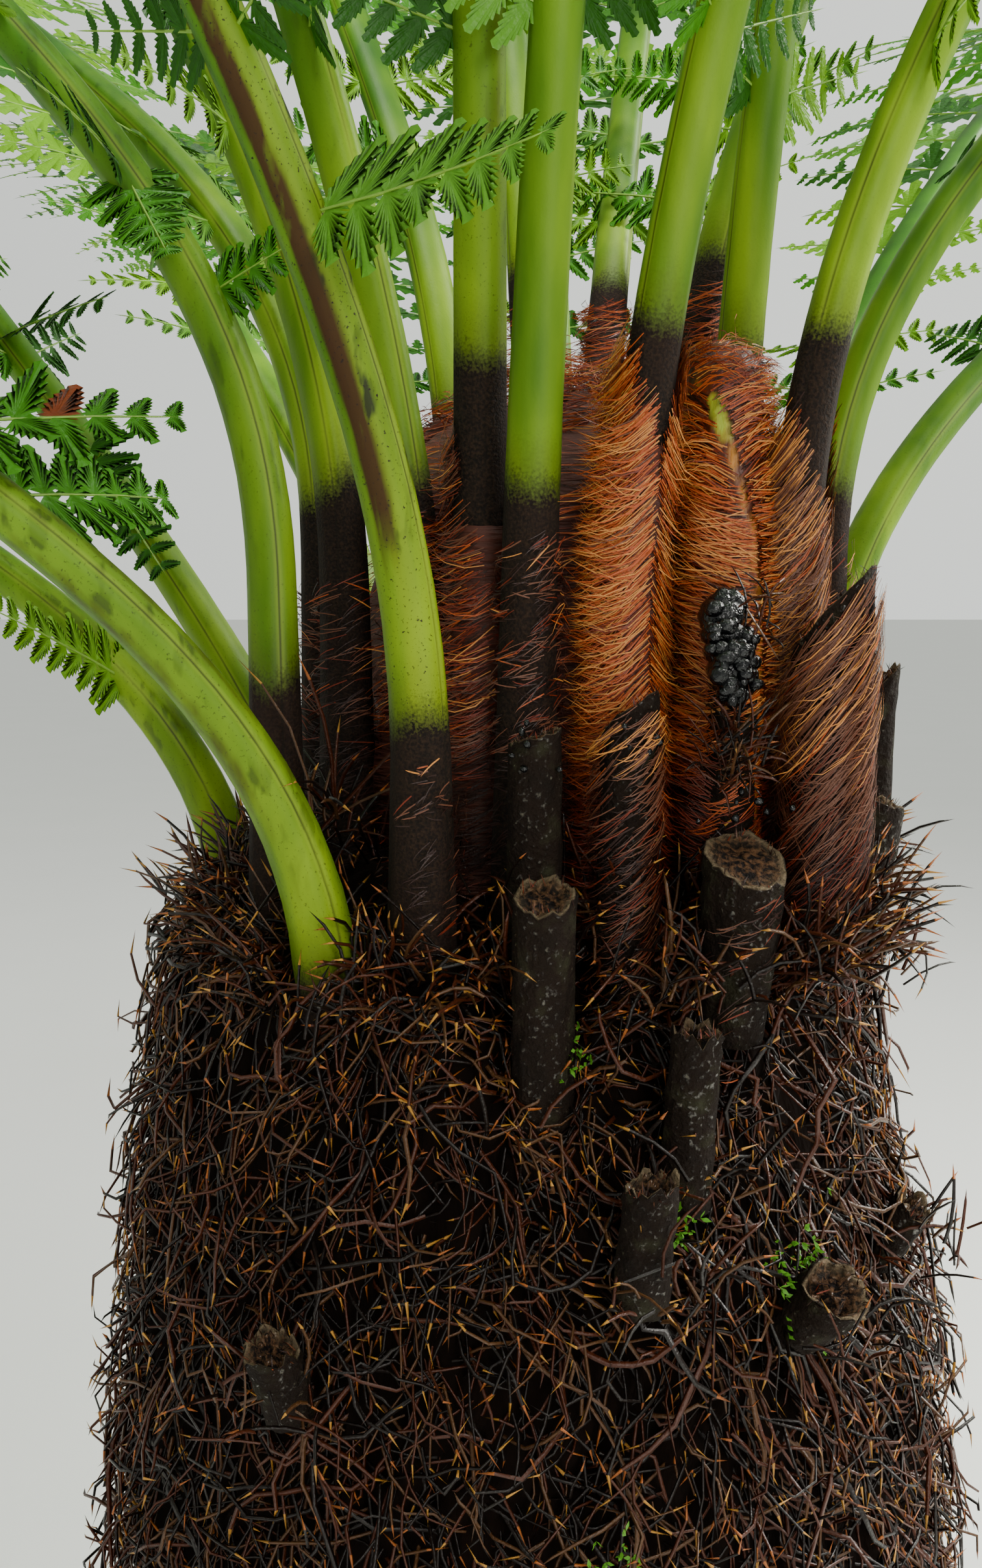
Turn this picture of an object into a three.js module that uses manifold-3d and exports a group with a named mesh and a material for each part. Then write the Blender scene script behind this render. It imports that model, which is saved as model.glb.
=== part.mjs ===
// A tree fern, rooted in the ground: a trunk clad in aerial roots, a crown of arching fronds
// round a hairy heart, and the stubs of the fronds that were cut away.
// Millimetres, +Z up. The origin is the middle of the flat cut at ground level.

import * as THREE from "three";
import { mergeVertices } from "three/addons/utils/BufferGeometryUtils.js";
import Module from "manifold-3d";

const wasm = await Module();
wasm.setup();

// Gaps
const CLEARANCE = 0.3; // between solids that stand against each other
const LEAFLET_GAP = 1.5; // least gap from a leaflet to anything but its own stalk
const MERGE_DISTANCE = 1e-3; // corners nearer than this are one corner

// Trunk
const TRUNK_TOP = 1000;
const TRUNK_RADIUS = 166; // at the ground, without the flare
const TAPER = 0.008; // radius lost per millimetre of height
const FLARE = 26;
const FLARE_FADE = 90; // height over which the flare dies away
const SHOULDER_START = 700;
const SHOULDER_HEIGHT = 950;
const SHOULDER_RADIUS = 136;
const SHOULDER_POWER = 1.7;
const DOME_POWER = 2.5;
const TRUNK_SIDES = 22;
const TRUNK_RINGS = [0, 45, 110, 250, 480, SHOULDER_START, 780, 850, 910, SHOULDER_HEIGHT];
const DOME_RINGS = [0.85, 0.62, 0.34]; // shares of the shoulder radius
const LOBES = [
  { count: 3, depth: 0.018, phase: 0.6, twist: 0 },
  { count: 5, depth: 0.011, phase: 1.9, twist: 1 / 160 },
];

// Heart of the crown: a mass of rusty hair over the young, still coiled fronds
const HEART_X = 17; // the crown grows a little off the trunk's axis
const HEART_FOOT_RADIUS = 88;
const HEART_FOOT_HEIGHT = 955;
const HEART_NECK_RADIUS = 76;
const HEART_NECK_HEIGHT = 1096;
const HEART_TOP = 1146;
const HEART_SIDES = 16;
const HEART_DOME_STEPS = 3;
const COIL_RADIUS = 24;
const COIL_SIDES = 7;
const COIL_RINGS = 5;
const COILS = [
  { azimuth: 58, ring: 46, height: 1118 },
  { azimuth: -20, ring: 30, height: 1124 },
  { azimuth: 118, ring: 26, height: 1130 },
  { azimuth: -110, ring: 40, height: 1116 },
];

// Frond: a stalk that rises as a column, bends out and arches over, with leaflets in pairs
const FROND_LENGTH = 1750;
const TIP_LEAN = 105; // degrees from upright
const ARCH_POWER = 1.6;
const BEND_LENGTH = 110; // stretch over which the column bends into its spread
const BEND_POWER = 1.5;
const STALK_RADIUS = 8.5;
const STALK_SWELL = 2.5; // added at the foot
const SWELL_FADE = 60;
const STALK_TIP_RADIUS = 2.2;
const STALK_TAPER_POWER = 0.8;
const STALK_SINK = 70; // length of stalk below its foot point, before the trunk cuts it
const PATH_STEP = 10;
const FOOT_RINGS = [-STALK_SINK, 0, 55, 110, 190]; // distances of the stalk's lowest rings
const BASE_SIDES = 6;
const TIP_SIDES = 4;
const PAIRS = 10;
const PAIRS_ON_BASE = 5; // the frond is split in two above these
const LOWEST_PAIR = 0.35; // share of the pairs' spacing that it stands above the blade's start
const PAIR_SHIFT = 0.3; // share of the spacing by which one frond's pairs may stand higher
const BLADE_START = 220; // distance from the foot
const LEAFLET_LENGTH = 245;
const LOWEST_LEAFLET = 0.22; // share of the full leaflet length
const BLADE_SKEW = 0.85; // below 1, the blade is broadest above its middle
const BLADE_FULLNESS = 0.8; // below 1, the blade keeps its breadth further towards its ends
const LEAFLET_FILL = 0.8; // share of the spacing that a leaflet's width takes
const LEAFLET_STOUTNESS = 0.62; // most that a short leaflet's width is of its length
const LEAFLET_BROADEST = 0.32; // share of the length where a leaflet is widest
const LEAFLET_SWEEP = 18; // degrees towards the tip
const LEAFLET_DROOP = 0.12;
const LEAFLET_MIN_THICKNESS = 3;
const LEAFLET_SLENDERNESS = 55; // length over thickness
const SHORTER = [1, 0.75, 0.5]; // shares of its length that a crowded leaflet is cut back to

// Where each frond stands and leans. Azimuths and bearings are degrees from the front (-Y)
// towards +X, about the heart's axis. Release is the height of the column below its bend.
const FROND_ROWS = [
  // azimuth, ring radius, release, bearing, spread
  [-27, 112, 35, -50, 27],
  [-13, 85, 0, 20, 6],
  [-28, 71, 0, 0, 10],
  [8, 84, 50, 55, 12],
  [43, 95, 90, 80, 24],
  [98, 93, 90, 100, 43],
  [130, 55, 90, 120, 20],
  [170, 48, 5, 170, 35],
  [165, 80, -35, 145, 13],
  [-69, 85, 75, -115, 26],
  [-57, 118, 100, -88, 43],
  [-39, 128, -30, -70, 55],
  [-100, 130, -35, -92, 60],
  [-118, 115, -100, -112, 38],
  [-104, 95, 100, -125, 53],
  [-143, 70, 85, -150, 32],
  [-48, 70, 25, -75, 13],
  [150, 118, -20, 148, 50],
  [-165, 122, -20, -163, 56],
  [180, 106, 10, 180, 42],
  [118, 112, 20, 126, 56],
  [-141, 112, 0, -138, 46],
  [-172, 72, 20, -170, 16],
  [95, 55, 40, 40, 4],
];

// Stubs of cut fronds that stand free of the trunk, about the trunk's axis. Top is the height
// of the middle of the cut face, slant is the cut's rise across the stub.
const STUB_ROWS = [
  // azimuth, ring radius, top, foot radius, top radius, length, lean, slant
  [0, 106, 1025, 8.5, 7.5, 90, 3, 0.1],
  [1, 127, 981, 10, 9, 110, 3, 0.15],
  [15, 110, 1032, 9, 8.5, 110, 4, 0.7],
  [34, 109, 1040, 8, 7.5, 120, 2, 0.2],
  [28, 132, 990, 11, 11, 100, 6, -0.25],
  [43.5, 131, 1062, 11.5, 12, 120, 1, 1.1],
  [90, 131, 1040, 8, 8, 120, 1, 0.6],
  [72, 128, 996, 10, 10.5, 90, 8, -0.1],
  [128, 133, 1000, 9, 9, 90, 5, 0.4],
  [-160, 136, 985, 9, 9.5, 80, 6, -0.2],
];

// Older stubs, low on the trunk and grown into it
const OLD_STUB_ROWS = [
  // azimuth, ring radius, top, foot radius, top radius, length, lean, slant
  [19, 142, 943, 8, 7.5, 60, 8, 0.3],
  [12, 154, 904, 8, 7.5, 55, 14, 0.1],
  [35, 158, 862, 10, 10, 40, 45, 0],
  [62, 154, 861, 8, 8, 40, 35, 0],
  [-29, 160, 849, 8, 8, 50, 22, 0],
  [120, 144, 935, 9, 8, 60, 12, 0.3],
  [160, 150, 905, 9, 9, 55, 16, -0.2],
  [-178, 146, 930, 9, 8, 60, 12, 0.2],
  [-128, 158, 880, 9, 8, 50, 20, 0.2],
  [145, 162, 790, 9, 9, 40, 35, 0],
];
const STUB_SIDES = 8;

const FINISHES = {
  trunk: { color: 0x2b1a12, roughness: 0.95 },
  heart: { color: 0xa8502a, roughness: 0.8 },
  stub: { color: 0x33231c, roughness: 0.85 },
  frond: { color: 0x6f9e2c, roughness: 0.5 },
};

const SEED = 20;

// Geometry helpers

// A seeded source of numbers from 0 to 1: the same run of them each time.
function random(seed) {
  const range = 2 ** 32;
  const multiplier = 1664525;
  const increment = 1013904223;
  let state = seed;
  return () => {
    state = (state * multiplier + increment) % range;
    return state / range;
  };
}

function solid(geometry) {
  const bare = geometry.clone();
  bare.deleteAttribute("normal");
  bare.deleteAttribute("uv");
  const merged = mergeVertices(bare, MERGE_DISTANCE);
  return new wasm.Manifold(
    new wasm.Mesh({
      numProp: 3,
      vertProperties: Float32Array.from(merged.attributes.position.array),
      triVerts: Uint32Array.from(merged.index.array),
    }),
  );
}

function geometryOf(manifold) {
  const mesh = manifold.getMesh();
  const geometry = new THREE.BufferGeometry();
  geometry.setAttribute("position", new THREE.BufferAttribute(mesh.vertProperties, 3));
  geometry.setIndex(new THREE.BufferAttribute(mesh.triVerts, 1));
  geometry.computeVertexNormals();
  return geometry;
}

// Moves each vertex of a geometry to where place(vertex) says.
function warped(geometry, place) {
  const position = geometry.attributes.position;
  const vertex = new THREE.Vector3();
  for (let i = 0; i < position.count; i += 1) {
    vertex.fromBufferAttribute(position, i);
    const moved = place(vertex);
    position.setXYZ(i, moved.x, moved.y, moved.z);
  }
  return geometry;
}

// The largest body of a cut solid, without the scraps that the cut leaves. Its corners are
// merged again first, so that bodies that only touch at a corner come apart.
function largestPiece(manifold) {
  const bodies = solid(geometryOf(manifold)).decompose();
  return bodies.sort((a, b) => b.volume() - a.volume())[0];
}

function polar(azimuth, ring, height, centreX = 0) {
  const angle = THREE.MathUtils.degToRad(azimuth);
  return new THREE.Vector3(centreX + ring * Math.sin(angle), -ring * Math.cos(angle), height);
}

// A lathe profile of [radius, height] points, turned round the Z axis.
function turned(profile, sides) {
  const points = profile.map(([radius, height]) => new THREE.Vector2(radius, height));
  return new THREE.LatheGeometry(points, sides).rotateX(Math.PI / 2);
}

// Trunk

function trunkRadius(height) {
  const flare = FLARE * Math.exp(-height / FLARE_FADE);
  const body = TRUNK_RADIUS - TAPER * height;
  const rise = Math.max(0, height - SHOULDER_START) / (SHOULDER_HEIGHT - SHOULDER_START);
  const bodyAtShoulder = TRUNK_RADIUS - TAPER * SHOULDER_HEIGHT;
  return body + flare - (bodyAtShoulder - SHOULDER_RADIUS) * rise ** SHOULDER_POWER;
}

function domeHeight(radius) {
  const drop = TRUNK_TOP - SHOULDER_HEIGHT;
  return TRUNK_TOP - drop * (radius / SHOULDER_RADIUS) ** DOME_POWER;
}

function lobed(vertex) {
  const angle = Math.atan2(vertex.y, vertex.x);
  let factor = 1;
  for (const lobe of LOBES) {
    factor += lobe.depth * Math.cos(lobe.count * angle + lobe.phase + lobe.twist * vertex.z);
  }
  return new THREE.Vector3(vertex.x * factor, vertex.y * factor, vertex.z);
}

// The bare trunk, grown outwards and upwards by a margin where something is cut to fit it.
function trunkBody(margin = 0) {
  const side = TRUNK_RINGS.map((height) => [trunkRadius(height) + margin, height]);
  const dome = DOME_RINGS.map((share) => {
    const radius = share * SHOULDER_RADIUS;
    return [radius + margin, domeHeight(radius) + margin];
  });
  const profile = [[0, 0], ...side, ...dome, [0, TRUNK_TOP + margin]];
  return solid(warped(turned(profile, TRUNK_SIDES), lobed));
}

// Stubs

// A stub: a short shaft that leans outwards, with a slanting cut at its top.
function stub([azimuth, ring, top, footRadius, topRadius, length, lean, slant]) {
  const shaft = new THREE.CylinderGeometry(topRadius, footRadius, length, STUB_SIDES);
  shaft.rotateX(Math.PI / 2).translate(0, 0, -length / 2);
  const cut = (v) => new THREE.Vector3(v.x, v.y, v.z + slant * v.x);
  warped(shaft, (v) => (v.z > -length / 2 ? cut(v) : v));
  shaft.rotateY(THREE.MathUtils.degToRad(lean));
  shaft.rotateZ(THREE.MathUtils.degToRad(azimuth - 90));
  const place = polar(azimuth, ring, top);
  return solid(shaft.translate(place.x, place.y, place.z));
}

// Fronds

function stalkRadius(distance) {
  const rise = Math.max(0, distance);
  const taper = (1 - rise / FROND_LENGTH) ** STALK_TAPER_POWER;
  const swell = STALK_SWELL * Math.exp(-rise / SWELL_FADE);
  return STALK_TIP_RADIUS + (STALK_RADIUS - STALK_TIP_RADIUS) * taper + swell;
}

// The stalk's centre line, walked out in short steps from its foot, in one upright plane.
function stalkPath([azimuth, ring, release, bearing, spread]) {
  const heading = THREE.MathUtils.degToRad(bearing);
  const outward = new THREE.Vector3(Math.sin(heading), -Math.cos(heading), 0);
  const side = new THREE.Vector3(Math.cos(heading), Math.sin(heading), 0);
  const up = new THREE.Vector3(0, 0, 1);

  const leanAt = (distance) => {
    const pastRelease = Math.max(0, distance - release) / BEND_LENGTH;
    const bend = spread * (1 - Math.exp(-(pastRelease ** BEND_POWER)));
    const arch = (TIP_LEAN - spread) * (Math.max(0, distance) / FROND_LENGTH) ** ARCH_POWER;
    return THREE.MathUtils.degToRad(bend + arch);
  };
  const along = (distance) => {
    const lean = leanAt(distance);
    return outward.clone().multiplyScalar(Math.sin(lean)).addScaledVector(up, Math.cos(lean));
  };

  const points = [polar(azimuth, ring, domeHeight(ring), HEART_X)];
  for (let distance = 0; distance < FROND_LENGTH; distance += PATH_STEP) {
    const last = points[points.length - 1];
    points.push(last.clone().addScaledVector(along(distance + PATH_STEP / 2), PATH_STEP));
  }
  const pointAt = (distance) => {
    if (distance < 0) return points[0].clone().addScaledVector(along(0), distance);
    const index = Math.min(Math.floor(distance / PATH_STEP), points.length - 2);
    return points[index].clone().lerp(points[index + 1], distance / PATH_STEP - index);
  };
  const upperSide = (distance) => side.clone().cross(along(distance)).negate();
  return { side, along, pointAt, upperSide };
}

// A length of stalk: a cylinder bent along the path through rings at the given distances, with
// its radius from the taper rule and a flat of its section to each side.
function stalk(path, rings, sides, margin = 0) {
  const tube = new THREE.CylinderGeometry(1, 1, 1, sides, rings.length - 1);
  tube.rotateY(Math.PI / 2 + Math.PI / sides);
  return solid(
    warped(tube, (v) => {
      const distance = rings[Math.round((v.y + 0.5) * (rings.length - 1))];
      const radius = stalkRadius(distance) + margin;
      return path
        .pointAt(distance)
        .addScaledVector(path.side, v.x * radius)
        .addScaledVector(path.upperSide(distance), -v.z * radius);
    }),
  );
}

// Share of the full leaflet length at a share of the way up the blade.
function bladeOutline(share) {
  const body = Math.sin(Math.PI * share ** (1 / BLADE_SKEW)) ** BLADE_FULLNESS;
  return Math.max(body, LOWEST_LEAFLET * Math.sqrt(1 - share));
}

// A point on the stalk's axis, which runs straight from ring to ring.
function rootAt(path, rings, distance) {
  const next = rings.findIndex((ring) => ring > distance);
  const share = (distance - rings[next - 1]) / (rings[next] - rings[next - 1]);
  return path.pointAt(rings[next - 1]).lerp(path.pointAt(rings[next]), share);
}

// A leaflet: a flat diamond from the stalk's axis outwards, swept to the tip and drooping.
function leaflet(path, root, distance, hand, length, width) {
  const thickness = Math.max(LEAFLET_MIN_THICKNESS, length / LEAFLET_SLENDERNESS);
  const sweep = THREE.MathUtils.degToRad(LEAFLET_SWEEP);
  const along = path.along(distance);
  const out = path.side.clone().multiplyScalar(hand * Math.cos(sweep));
  out.addScaledVector(along, Math.sin(sweep));
  const flat = path.upperSide(distance);
  const across = flat.clone().cross(out);
  return solid(
    warped(new THREE.OctahedronGeometry(1), (v) => {
      const pastBroadest = v.x > 0 ? (1 - LEAFLET_BROADEST) * v.x : LEAFLET_BROADEST * v.x;
      const reach = LEAFLET_BROADEST + pastBroadest;
      return root
        .clone()
        .addScaledVector(out, reach * length)
        .addScaledVector(across, (v.y * width) / 2)
        .addScaledVector(flat, (v.z * thickness) / 2 - LEAFLET_DROOP * length * reach ** 2);
    }),
  );
}

function boxesNear(a, b, margin) {
  const first = a.boundingBox();
  const second = b.boundingBox();
  return [0, 1, 2].every(
    (axis) => first.min[axis] - margin < second.max[axis] && second.min[axis] - margin < first.max[axis],
  );
}

function isClear(piece, others, margin) {
  return others.every((other) => !boxesNear(piece, other, margin) || piece.minGap(other, margin) >= margin);
}

// Assembly

const model = new THREE.Group();

function addNode(name, manifold, finish) {
  const material = new THREE.MeshStandardMaterial({ ...finish, metalness: 0 });
  const mesh = new THREE.Mesh(geometryOf(manifold), material);
  mesh.name = name;
  model.add(mesh);
}

const trunkSpace = trunkBody(CLEARANCE);
const trunk = wasm.Manifold.union([trunkBody(), ...OLD_STUB_ROWS.map(stub)]);
const stubs = STUB_ROWS.map((row) => largestPiece(stub(row).subtract(trunkSpace)));

const paths = FROND_ROWS.map(stalkPath);
const chance = random(SEED);
const spacing = (FROND_LENGTH - BLADE_START) / PAIRS;
const halves = paths.flatMap((path, index) => {
  const lowest = BLADE_START + (LOWEST_PAIR + PAIR_SHIFT * chance()) * spacing;
  const pairs = Array.from({ length: PAIRS }, (_, pair) => lowest + pair * spacing);
  const between = pairs.slice(0, -1).map((distance) => distance + spacing / 2);
  const split = between[PAIRS_ON_BASE - 1];
  const baseRings = [...FOOT_RINGS, ...between.slice(0, PAIRS_ON_BASE - 1), split - CLEARANCE / 2];
  const tipRings = [split + CLEARANCE / 2, ...between.slice(PAIRS_ON_BASE), FROND_LENGTH];
  const base = largestPiece(stalk(path, baseRings, BASE_SIDES).subtract(trunkSpace));
  const tip = stalk(path, tipRings, TIP_SIDES);
  const name = `frond_${String(index + 1).padStart(2, "0")}`;
  const basePairs = pairs.slice(0, PAIRS_ON_BASE);
  const tipPairs = pairs.slice(PAIRS_ON_BASE);
  return [
    { name: `${name}_base`, path, rings: baseRings, pairs: basePairs, stalk: base, leaflets: [] },
    { name: `${name}_tip`, path, rings: tipRings, pairs: tipPairs, stalk: tip, leaflets: [] },
  ];
});

const heartProfile = [[0, HEART_FOOT_HEIGHT], [HEART_FOOT_RADIUS, HEART_FOOT_HEIGHT]];
for (let step = 0; step <= HEART_DOME_STEPS; step += 1) {
  const angle = (step / HEART_DOME_STEPS) * (Math.PI / 2);
  const rise = (HEART_TOP - HEART_NECK_HEIGHT) * Math.sin(angle);
  const radius = step < HEART_DOME_STEPS ? HEART_NECK_RADIUS * Math.cos(angle) : 0;
  heartProfile.push([radius, HEART_NECK_HEIGHT + rise]);
}
const heartMass = solid(turned(heartProfile, HEART_SIDES).translate(HEART_X, 0, 0));
const coils = COILS.map(({ azimuth, ring, height }) => {
  const place = polar(azimuth, ring, height, HEART_X);
  const ball = new THREE.SphereGeometry(COIL_RADIUS, COIL_SIDES, COIL_RINGS);
  return solid(ball.translate(place.x, place.y, place.z));
});
const heartCuts = [
  trunkSpace,
  ...paths.map((path) => stalk(path, FOOT_RINGS, BASE_SIDES, CLEARANCE)),
  ...STUB_ROWS.map(([azimuth, ring, top, foot, rim, ...rest]) =>
    stub([azimuth, ring, top + CLEARANCE, foot + CLEARANCE, rim + CLEARANCE, ...rest])),
];
const heart = largestPiece(
  wasm.Manifold.union([heartMass, ...coils]).subtract(wasm.Manifold.union(heartCuts)),
);

// Leaflets grow on every frond in turn, so that where two fronds crowd each other both lose some.
for (let turn = 0; turn < Math.max(PAIRS_ON_BASE, PAIRS - PAIRS_ON_BASE); turn += 1) {
  for (const half of halves.filter(({ pairs }) => turn < pairs.length)) {
    const { path, rings, pairs } = half;
    const distance = pairs[turn];
    const root = rootAt(path, rings, distance);
    const share = (distance - BLADE_START) / (FROND_LENGTH - BLADE_START);
    const length = LEAFLET_LENGTH * bladeOutline(share);
    const width = Math.min(LEAFLET_FILL * spacing, LEAFLET_STOUTNESS * length);
    const others = halves.filter((other) => other !== half);
    const solids = [trunk, heart, ...stubs, ...others.flatMap((other) => [other.stalk, ...other.leaflets])];
    for (const hand of [-1, 1]) {
      const choices = SHORTER.map((part) => leaflet(path, root, distance, hand, part * length, width));
      const kept = choices.find((choice) => isClear(choice, solids, LEAFLET_GAP));
      if (kept) half.leaflets.push(kept);
    }
  }
}

addNode("trunk", trunk, FINISHES.trunk);
addNode("heart", heart, FINISHES.heart);
stubs.forEach((piece, index) => {
  addNode(`stub_${String(index + 1).padStart(2, "0")}`, piece, FINISHES.stub);
});
for (const half of halves) {
  addNode(half.name, wasm.Manifold.union([half.stalk, ...half.leaflets]), FINISHES.frond);
}

export default model;
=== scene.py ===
# %% [markdown]
# # A tree fern, from its roots to its leaflets
#
# A tree fern's trunk is a thin stem inside a thick coat of its own wiry roots. On top stands a
# ring of stalks round a heart of young, coiled fronds, and all of that is wrapped in rusty hair.
# The plain solid model that this lesson starts from has one closed solid for the trunk, one for
# the heart, one for each stub of an old frond and two for each living frond. Here each of them
# is dressed with what a person would see: thousands of roots and hairs, ribbed stalks, and
# leaflets with toothed edges. Lengths are in metres, +Z is up, and the origin is the middle of
# the trunk's foot, just as in the solid model.

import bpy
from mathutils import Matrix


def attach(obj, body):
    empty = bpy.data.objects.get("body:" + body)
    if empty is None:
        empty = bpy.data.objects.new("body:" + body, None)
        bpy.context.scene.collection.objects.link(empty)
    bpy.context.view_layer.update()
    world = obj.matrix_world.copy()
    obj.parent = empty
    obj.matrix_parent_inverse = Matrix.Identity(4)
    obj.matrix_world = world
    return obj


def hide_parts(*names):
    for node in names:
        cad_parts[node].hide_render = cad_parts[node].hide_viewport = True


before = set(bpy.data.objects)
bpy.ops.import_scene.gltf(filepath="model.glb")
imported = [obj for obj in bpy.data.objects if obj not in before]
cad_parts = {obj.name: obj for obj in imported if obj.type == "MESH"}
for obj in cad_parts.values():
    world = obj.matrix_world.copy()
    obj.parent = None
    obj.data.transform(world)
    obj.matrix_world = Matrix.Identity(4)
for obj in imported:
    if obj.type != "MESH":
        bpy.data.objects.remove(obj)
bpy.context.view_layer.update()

# %% [markdown]
# Everything below is made of numbers in NumPy arrays, because a hundred thousand roots, hairs
# and leaflets take seconds that way and minutes with Blender's own operators. Each kind of
# piece has its own seeded source of chance, so that changing one never changes another.

# %% Arrays and chance
import math

import bpy
import numpy as np
from mathutils import Vector

SEED = 20
FULL_TURN = 2 * math.pi


def dice(name):
    """A source of chance that gives the same numbers for the same name each time."""
    return np.random.default_rng([SEED, *name.encode()])


def unit(vectors):
    """The same vectors, one long."""
    return vectors / np.maximum(np.linalg.norm(vectors, axis=-1, keepdims=True), 1e-12)


def polar(azimuth, ring, height, centre_x=0.0):
    """A point at an azimuth in degrees from the front (-Y) towards +X."""
    angle = np.radians(azimuth)
    x = centre_x + ring * np.sin(angle)
    y = -ring * np.cos(angle)
    return np.stack(np.broadcast_arrays(x, y, height), axis=-1).astype(float)


print("a quarter turn from the front lies at", polar(90, 1.0, 0.0))

# %% [markdown]
# A piece is a mesh that moves with the plant's one body. Meshes this big are written straight
# into Blender's arrays of corners and faces. Every face here is a triangle, so each one simply
# starts three corners after the last.

# %% A piece from points and triangles
def add_piece(name, points, triangles, finish, slot, replaced=(), floats=None):
    """A shown piece: its mesh, its material, and the solids that it stands for."""
    mesh = bpy.data.meshes.new(name)
    mesh.vertices.add(len(points))
    mesh.vertices.foreach_set("co", np.asarray(points, dtype=np.float32).ravel())
    mesh.loops.add(triangles.size)
    mesh.loops.foreach_set("vertex_index", np.asarray(triangles, dtype=np.int32).ravel())
    mesh.polygons.add(len(triangles))
    mesh.polygons.foreach_set("loop_start", np.arange(0, triangles.size, 3, dtype=np.int32))
    mesh.update(calc_edges=True)
    mesh.shade_smooth()
    for key, values in (floats or {}).items():
        attribute = mesh.attributes.new(key, "FLOAT", "POINT")
        attribute.data.foreach_set("value", np.asarray(values, dtype=np.float32).ravel())
    mesh.materials.append(finish)
    piece = bpy.data.objects.new(name, mesh)
    bpy.context.collection.objects.link(piece)
    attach(piece, "root")
    if replaced:
        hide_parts(*replaced)
    print(f"{name}: {len(triangles)} triangles")


def compact(points, triangles):
    """The triangles with only the points that they use."""
    used, corners = np.unique(triangles, return_inverse=True)
    return points[used], corners.reshape(-1, 3)


def joined(parts):
    """One array of points and one of triangles from many."""
    offsets = np.cumsum([0] + [len(points) for points, _ in parts[:-1]])
    triangles = [part[1] + offset for part, offset in zip(parts, offsets)]
    return np.concatenate([part[0] for part in parts]), np.concatenate(triangles)


small_triangle = (np.eye(3), np.array([[0, 1, 2]]))
print("corners of two joined triangles:", joined([small_triangle, small_triangle])[1].tolist())

# %% [markdown]
# Roots, hairs, stalks and ribs are all tubes or ribbons along a path. A tube needs two
# directions across its path at every point. They are carried along from the first point, each
# time made square to the path again, so that the tube never twists.

# %% Tubes along many paths at once
def tube_rings(paths, radii, sides):
    """Rings of points round the points of each path, as an array of paths, rings, sides, 3."""
    steps = np.diff(paths, axis=1)
    inner = steps[:, :-1] + steps[:, 1:]
    along = unit(np.concatenate([steps[:, :1], inner, steps[:, -1:]], axis=1))
    least = np.abs(along[:, 0]).argmin(axis=1)
    across = np.empty_like(along)
    across[:, 0] = unit(np.cross(along[:, 0], np.eye(3)[least]))
    for point in range(1, paths.shape[1]):
        carried = across[:, point - 1]
        slip = (carried * along[:, point]).sum(axis=1, keepdims=True)
        across[:, point] = unit(carried - slip * along[:, point])
    other = np.cross(along, across)
    turn = np.linspace(0.0, FULL_TURN, sides, endpoint=False)[:, None]
    ring = across[:, :, None] * np.cos(turn) + other[:, :, None] * np.sin(turn)
    return paths[:, :, None] + radii[:, :, None, None] * ring


def skin(rings, pointed=True):
    """The triangles between rings: an array of tubes, segments, triangles, 3 corners."""
    count, length, sides = rings.shape[:3]
    index = np.arange(count * length * sides).reshape(count, length, sides)
    low = index[:, :-1]
    high = index[:, 1:].copy()
    if pointed:
        high[:, -1] = high[:, -1, :1]
    low_next = np.roll(low, -1, axis=2)
    high_next = np.roll(high, -1, axis=2)
    first = np.stack([low, low_next, high_next], axis=-1)
    second = np.stack([low, high_next, high], axis=-1)
    return np.concatenate([first, second], axis=2)


def without_slivers(triangles):
    """Leaves out the triangles that a pointed end has drawn to nothing."""
    flat = triangles.reshape(-1, 3)
    return flat[(flat[:, 0] != flat[:, 1]) & (flat[:, 1] != flat[:, 2]) & (flat[:, 2] != flat[:, 0])]


def capped(rings, top, foot=None):
    """Rings as one mesh, closed by a fan round a top point and, if given, one round a foot."""
    sides = rings.shape[1]
    ends = [end for end in (foot, top) if end is not None]
    points = np.concatenate([rings.reshape(-1, 3), ends])
    triangles = [skin(rings[None], pointed=False).reshape(-1, 3)]
    first = np.arange(sides)
    last = first + rings.shape[0] * sides - sides
    if foot is not None:
        triangles.append(np.stack([np.roll(first, -1), first, np.full(sides, last[-1] + 1)], axis=-1))
    triangles.append(np.stack([last, np.roll(last, -1), np.full(sides, len(points) - 1)], axis=-1))
    return points, np.concatenate(triangles)


upright = np.linspace(0.0, 1.0, 5)[None, :, None] * np.array([0.0, 0.0, 1.0])
three_sided = tube_rings(upright, np.full((1, 5), 0.1), 3)
print("triangles in a pointed tube of three sides:", len(without_slivers(skin(three_sided))))

# %% [markdown]
# Materials are node trees. A tree is easier to read as a formula, so a small class wraps a
# socket and turns Python's own operators into Math nodes. A second class stands for a material
# and adds any other node: its type, its settings, and then the values or links of its sockets.
# Nearly every finish here ends in the same kind of surface, with a colour, a roughness and a fine
# relief, so that has a method too.

# %% Materials as formulas
class Wire:
    """A socket that carries a value, with Python's operators on it."""

    def __init__(self, finish, socket):
        self.finish = finish
        self.socket = socket

    def __add__(self, other):
        return self.finish.math("ADD", self, other)

    def __radd__(self, other):
        return self.finish.math("ADD", other, self)

    def __sub__(self, other):
        return self.finish.math("SUBTRACT", self, other)

    def __rsub__(self, other):
        return self.finish.math("SUBTRACT", other, self)

    def __mul__(self, other):
        return self.finish.math("MULTIPLY", self, other)

    def __rmul__(self, other):
        return self.finish.math("MULTIPLY", other, self)

    def clamped(self):
        """The value kept from 0 to 1."""
        return self.finish.node("Clamp", {}, {"Value": self})


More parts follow.
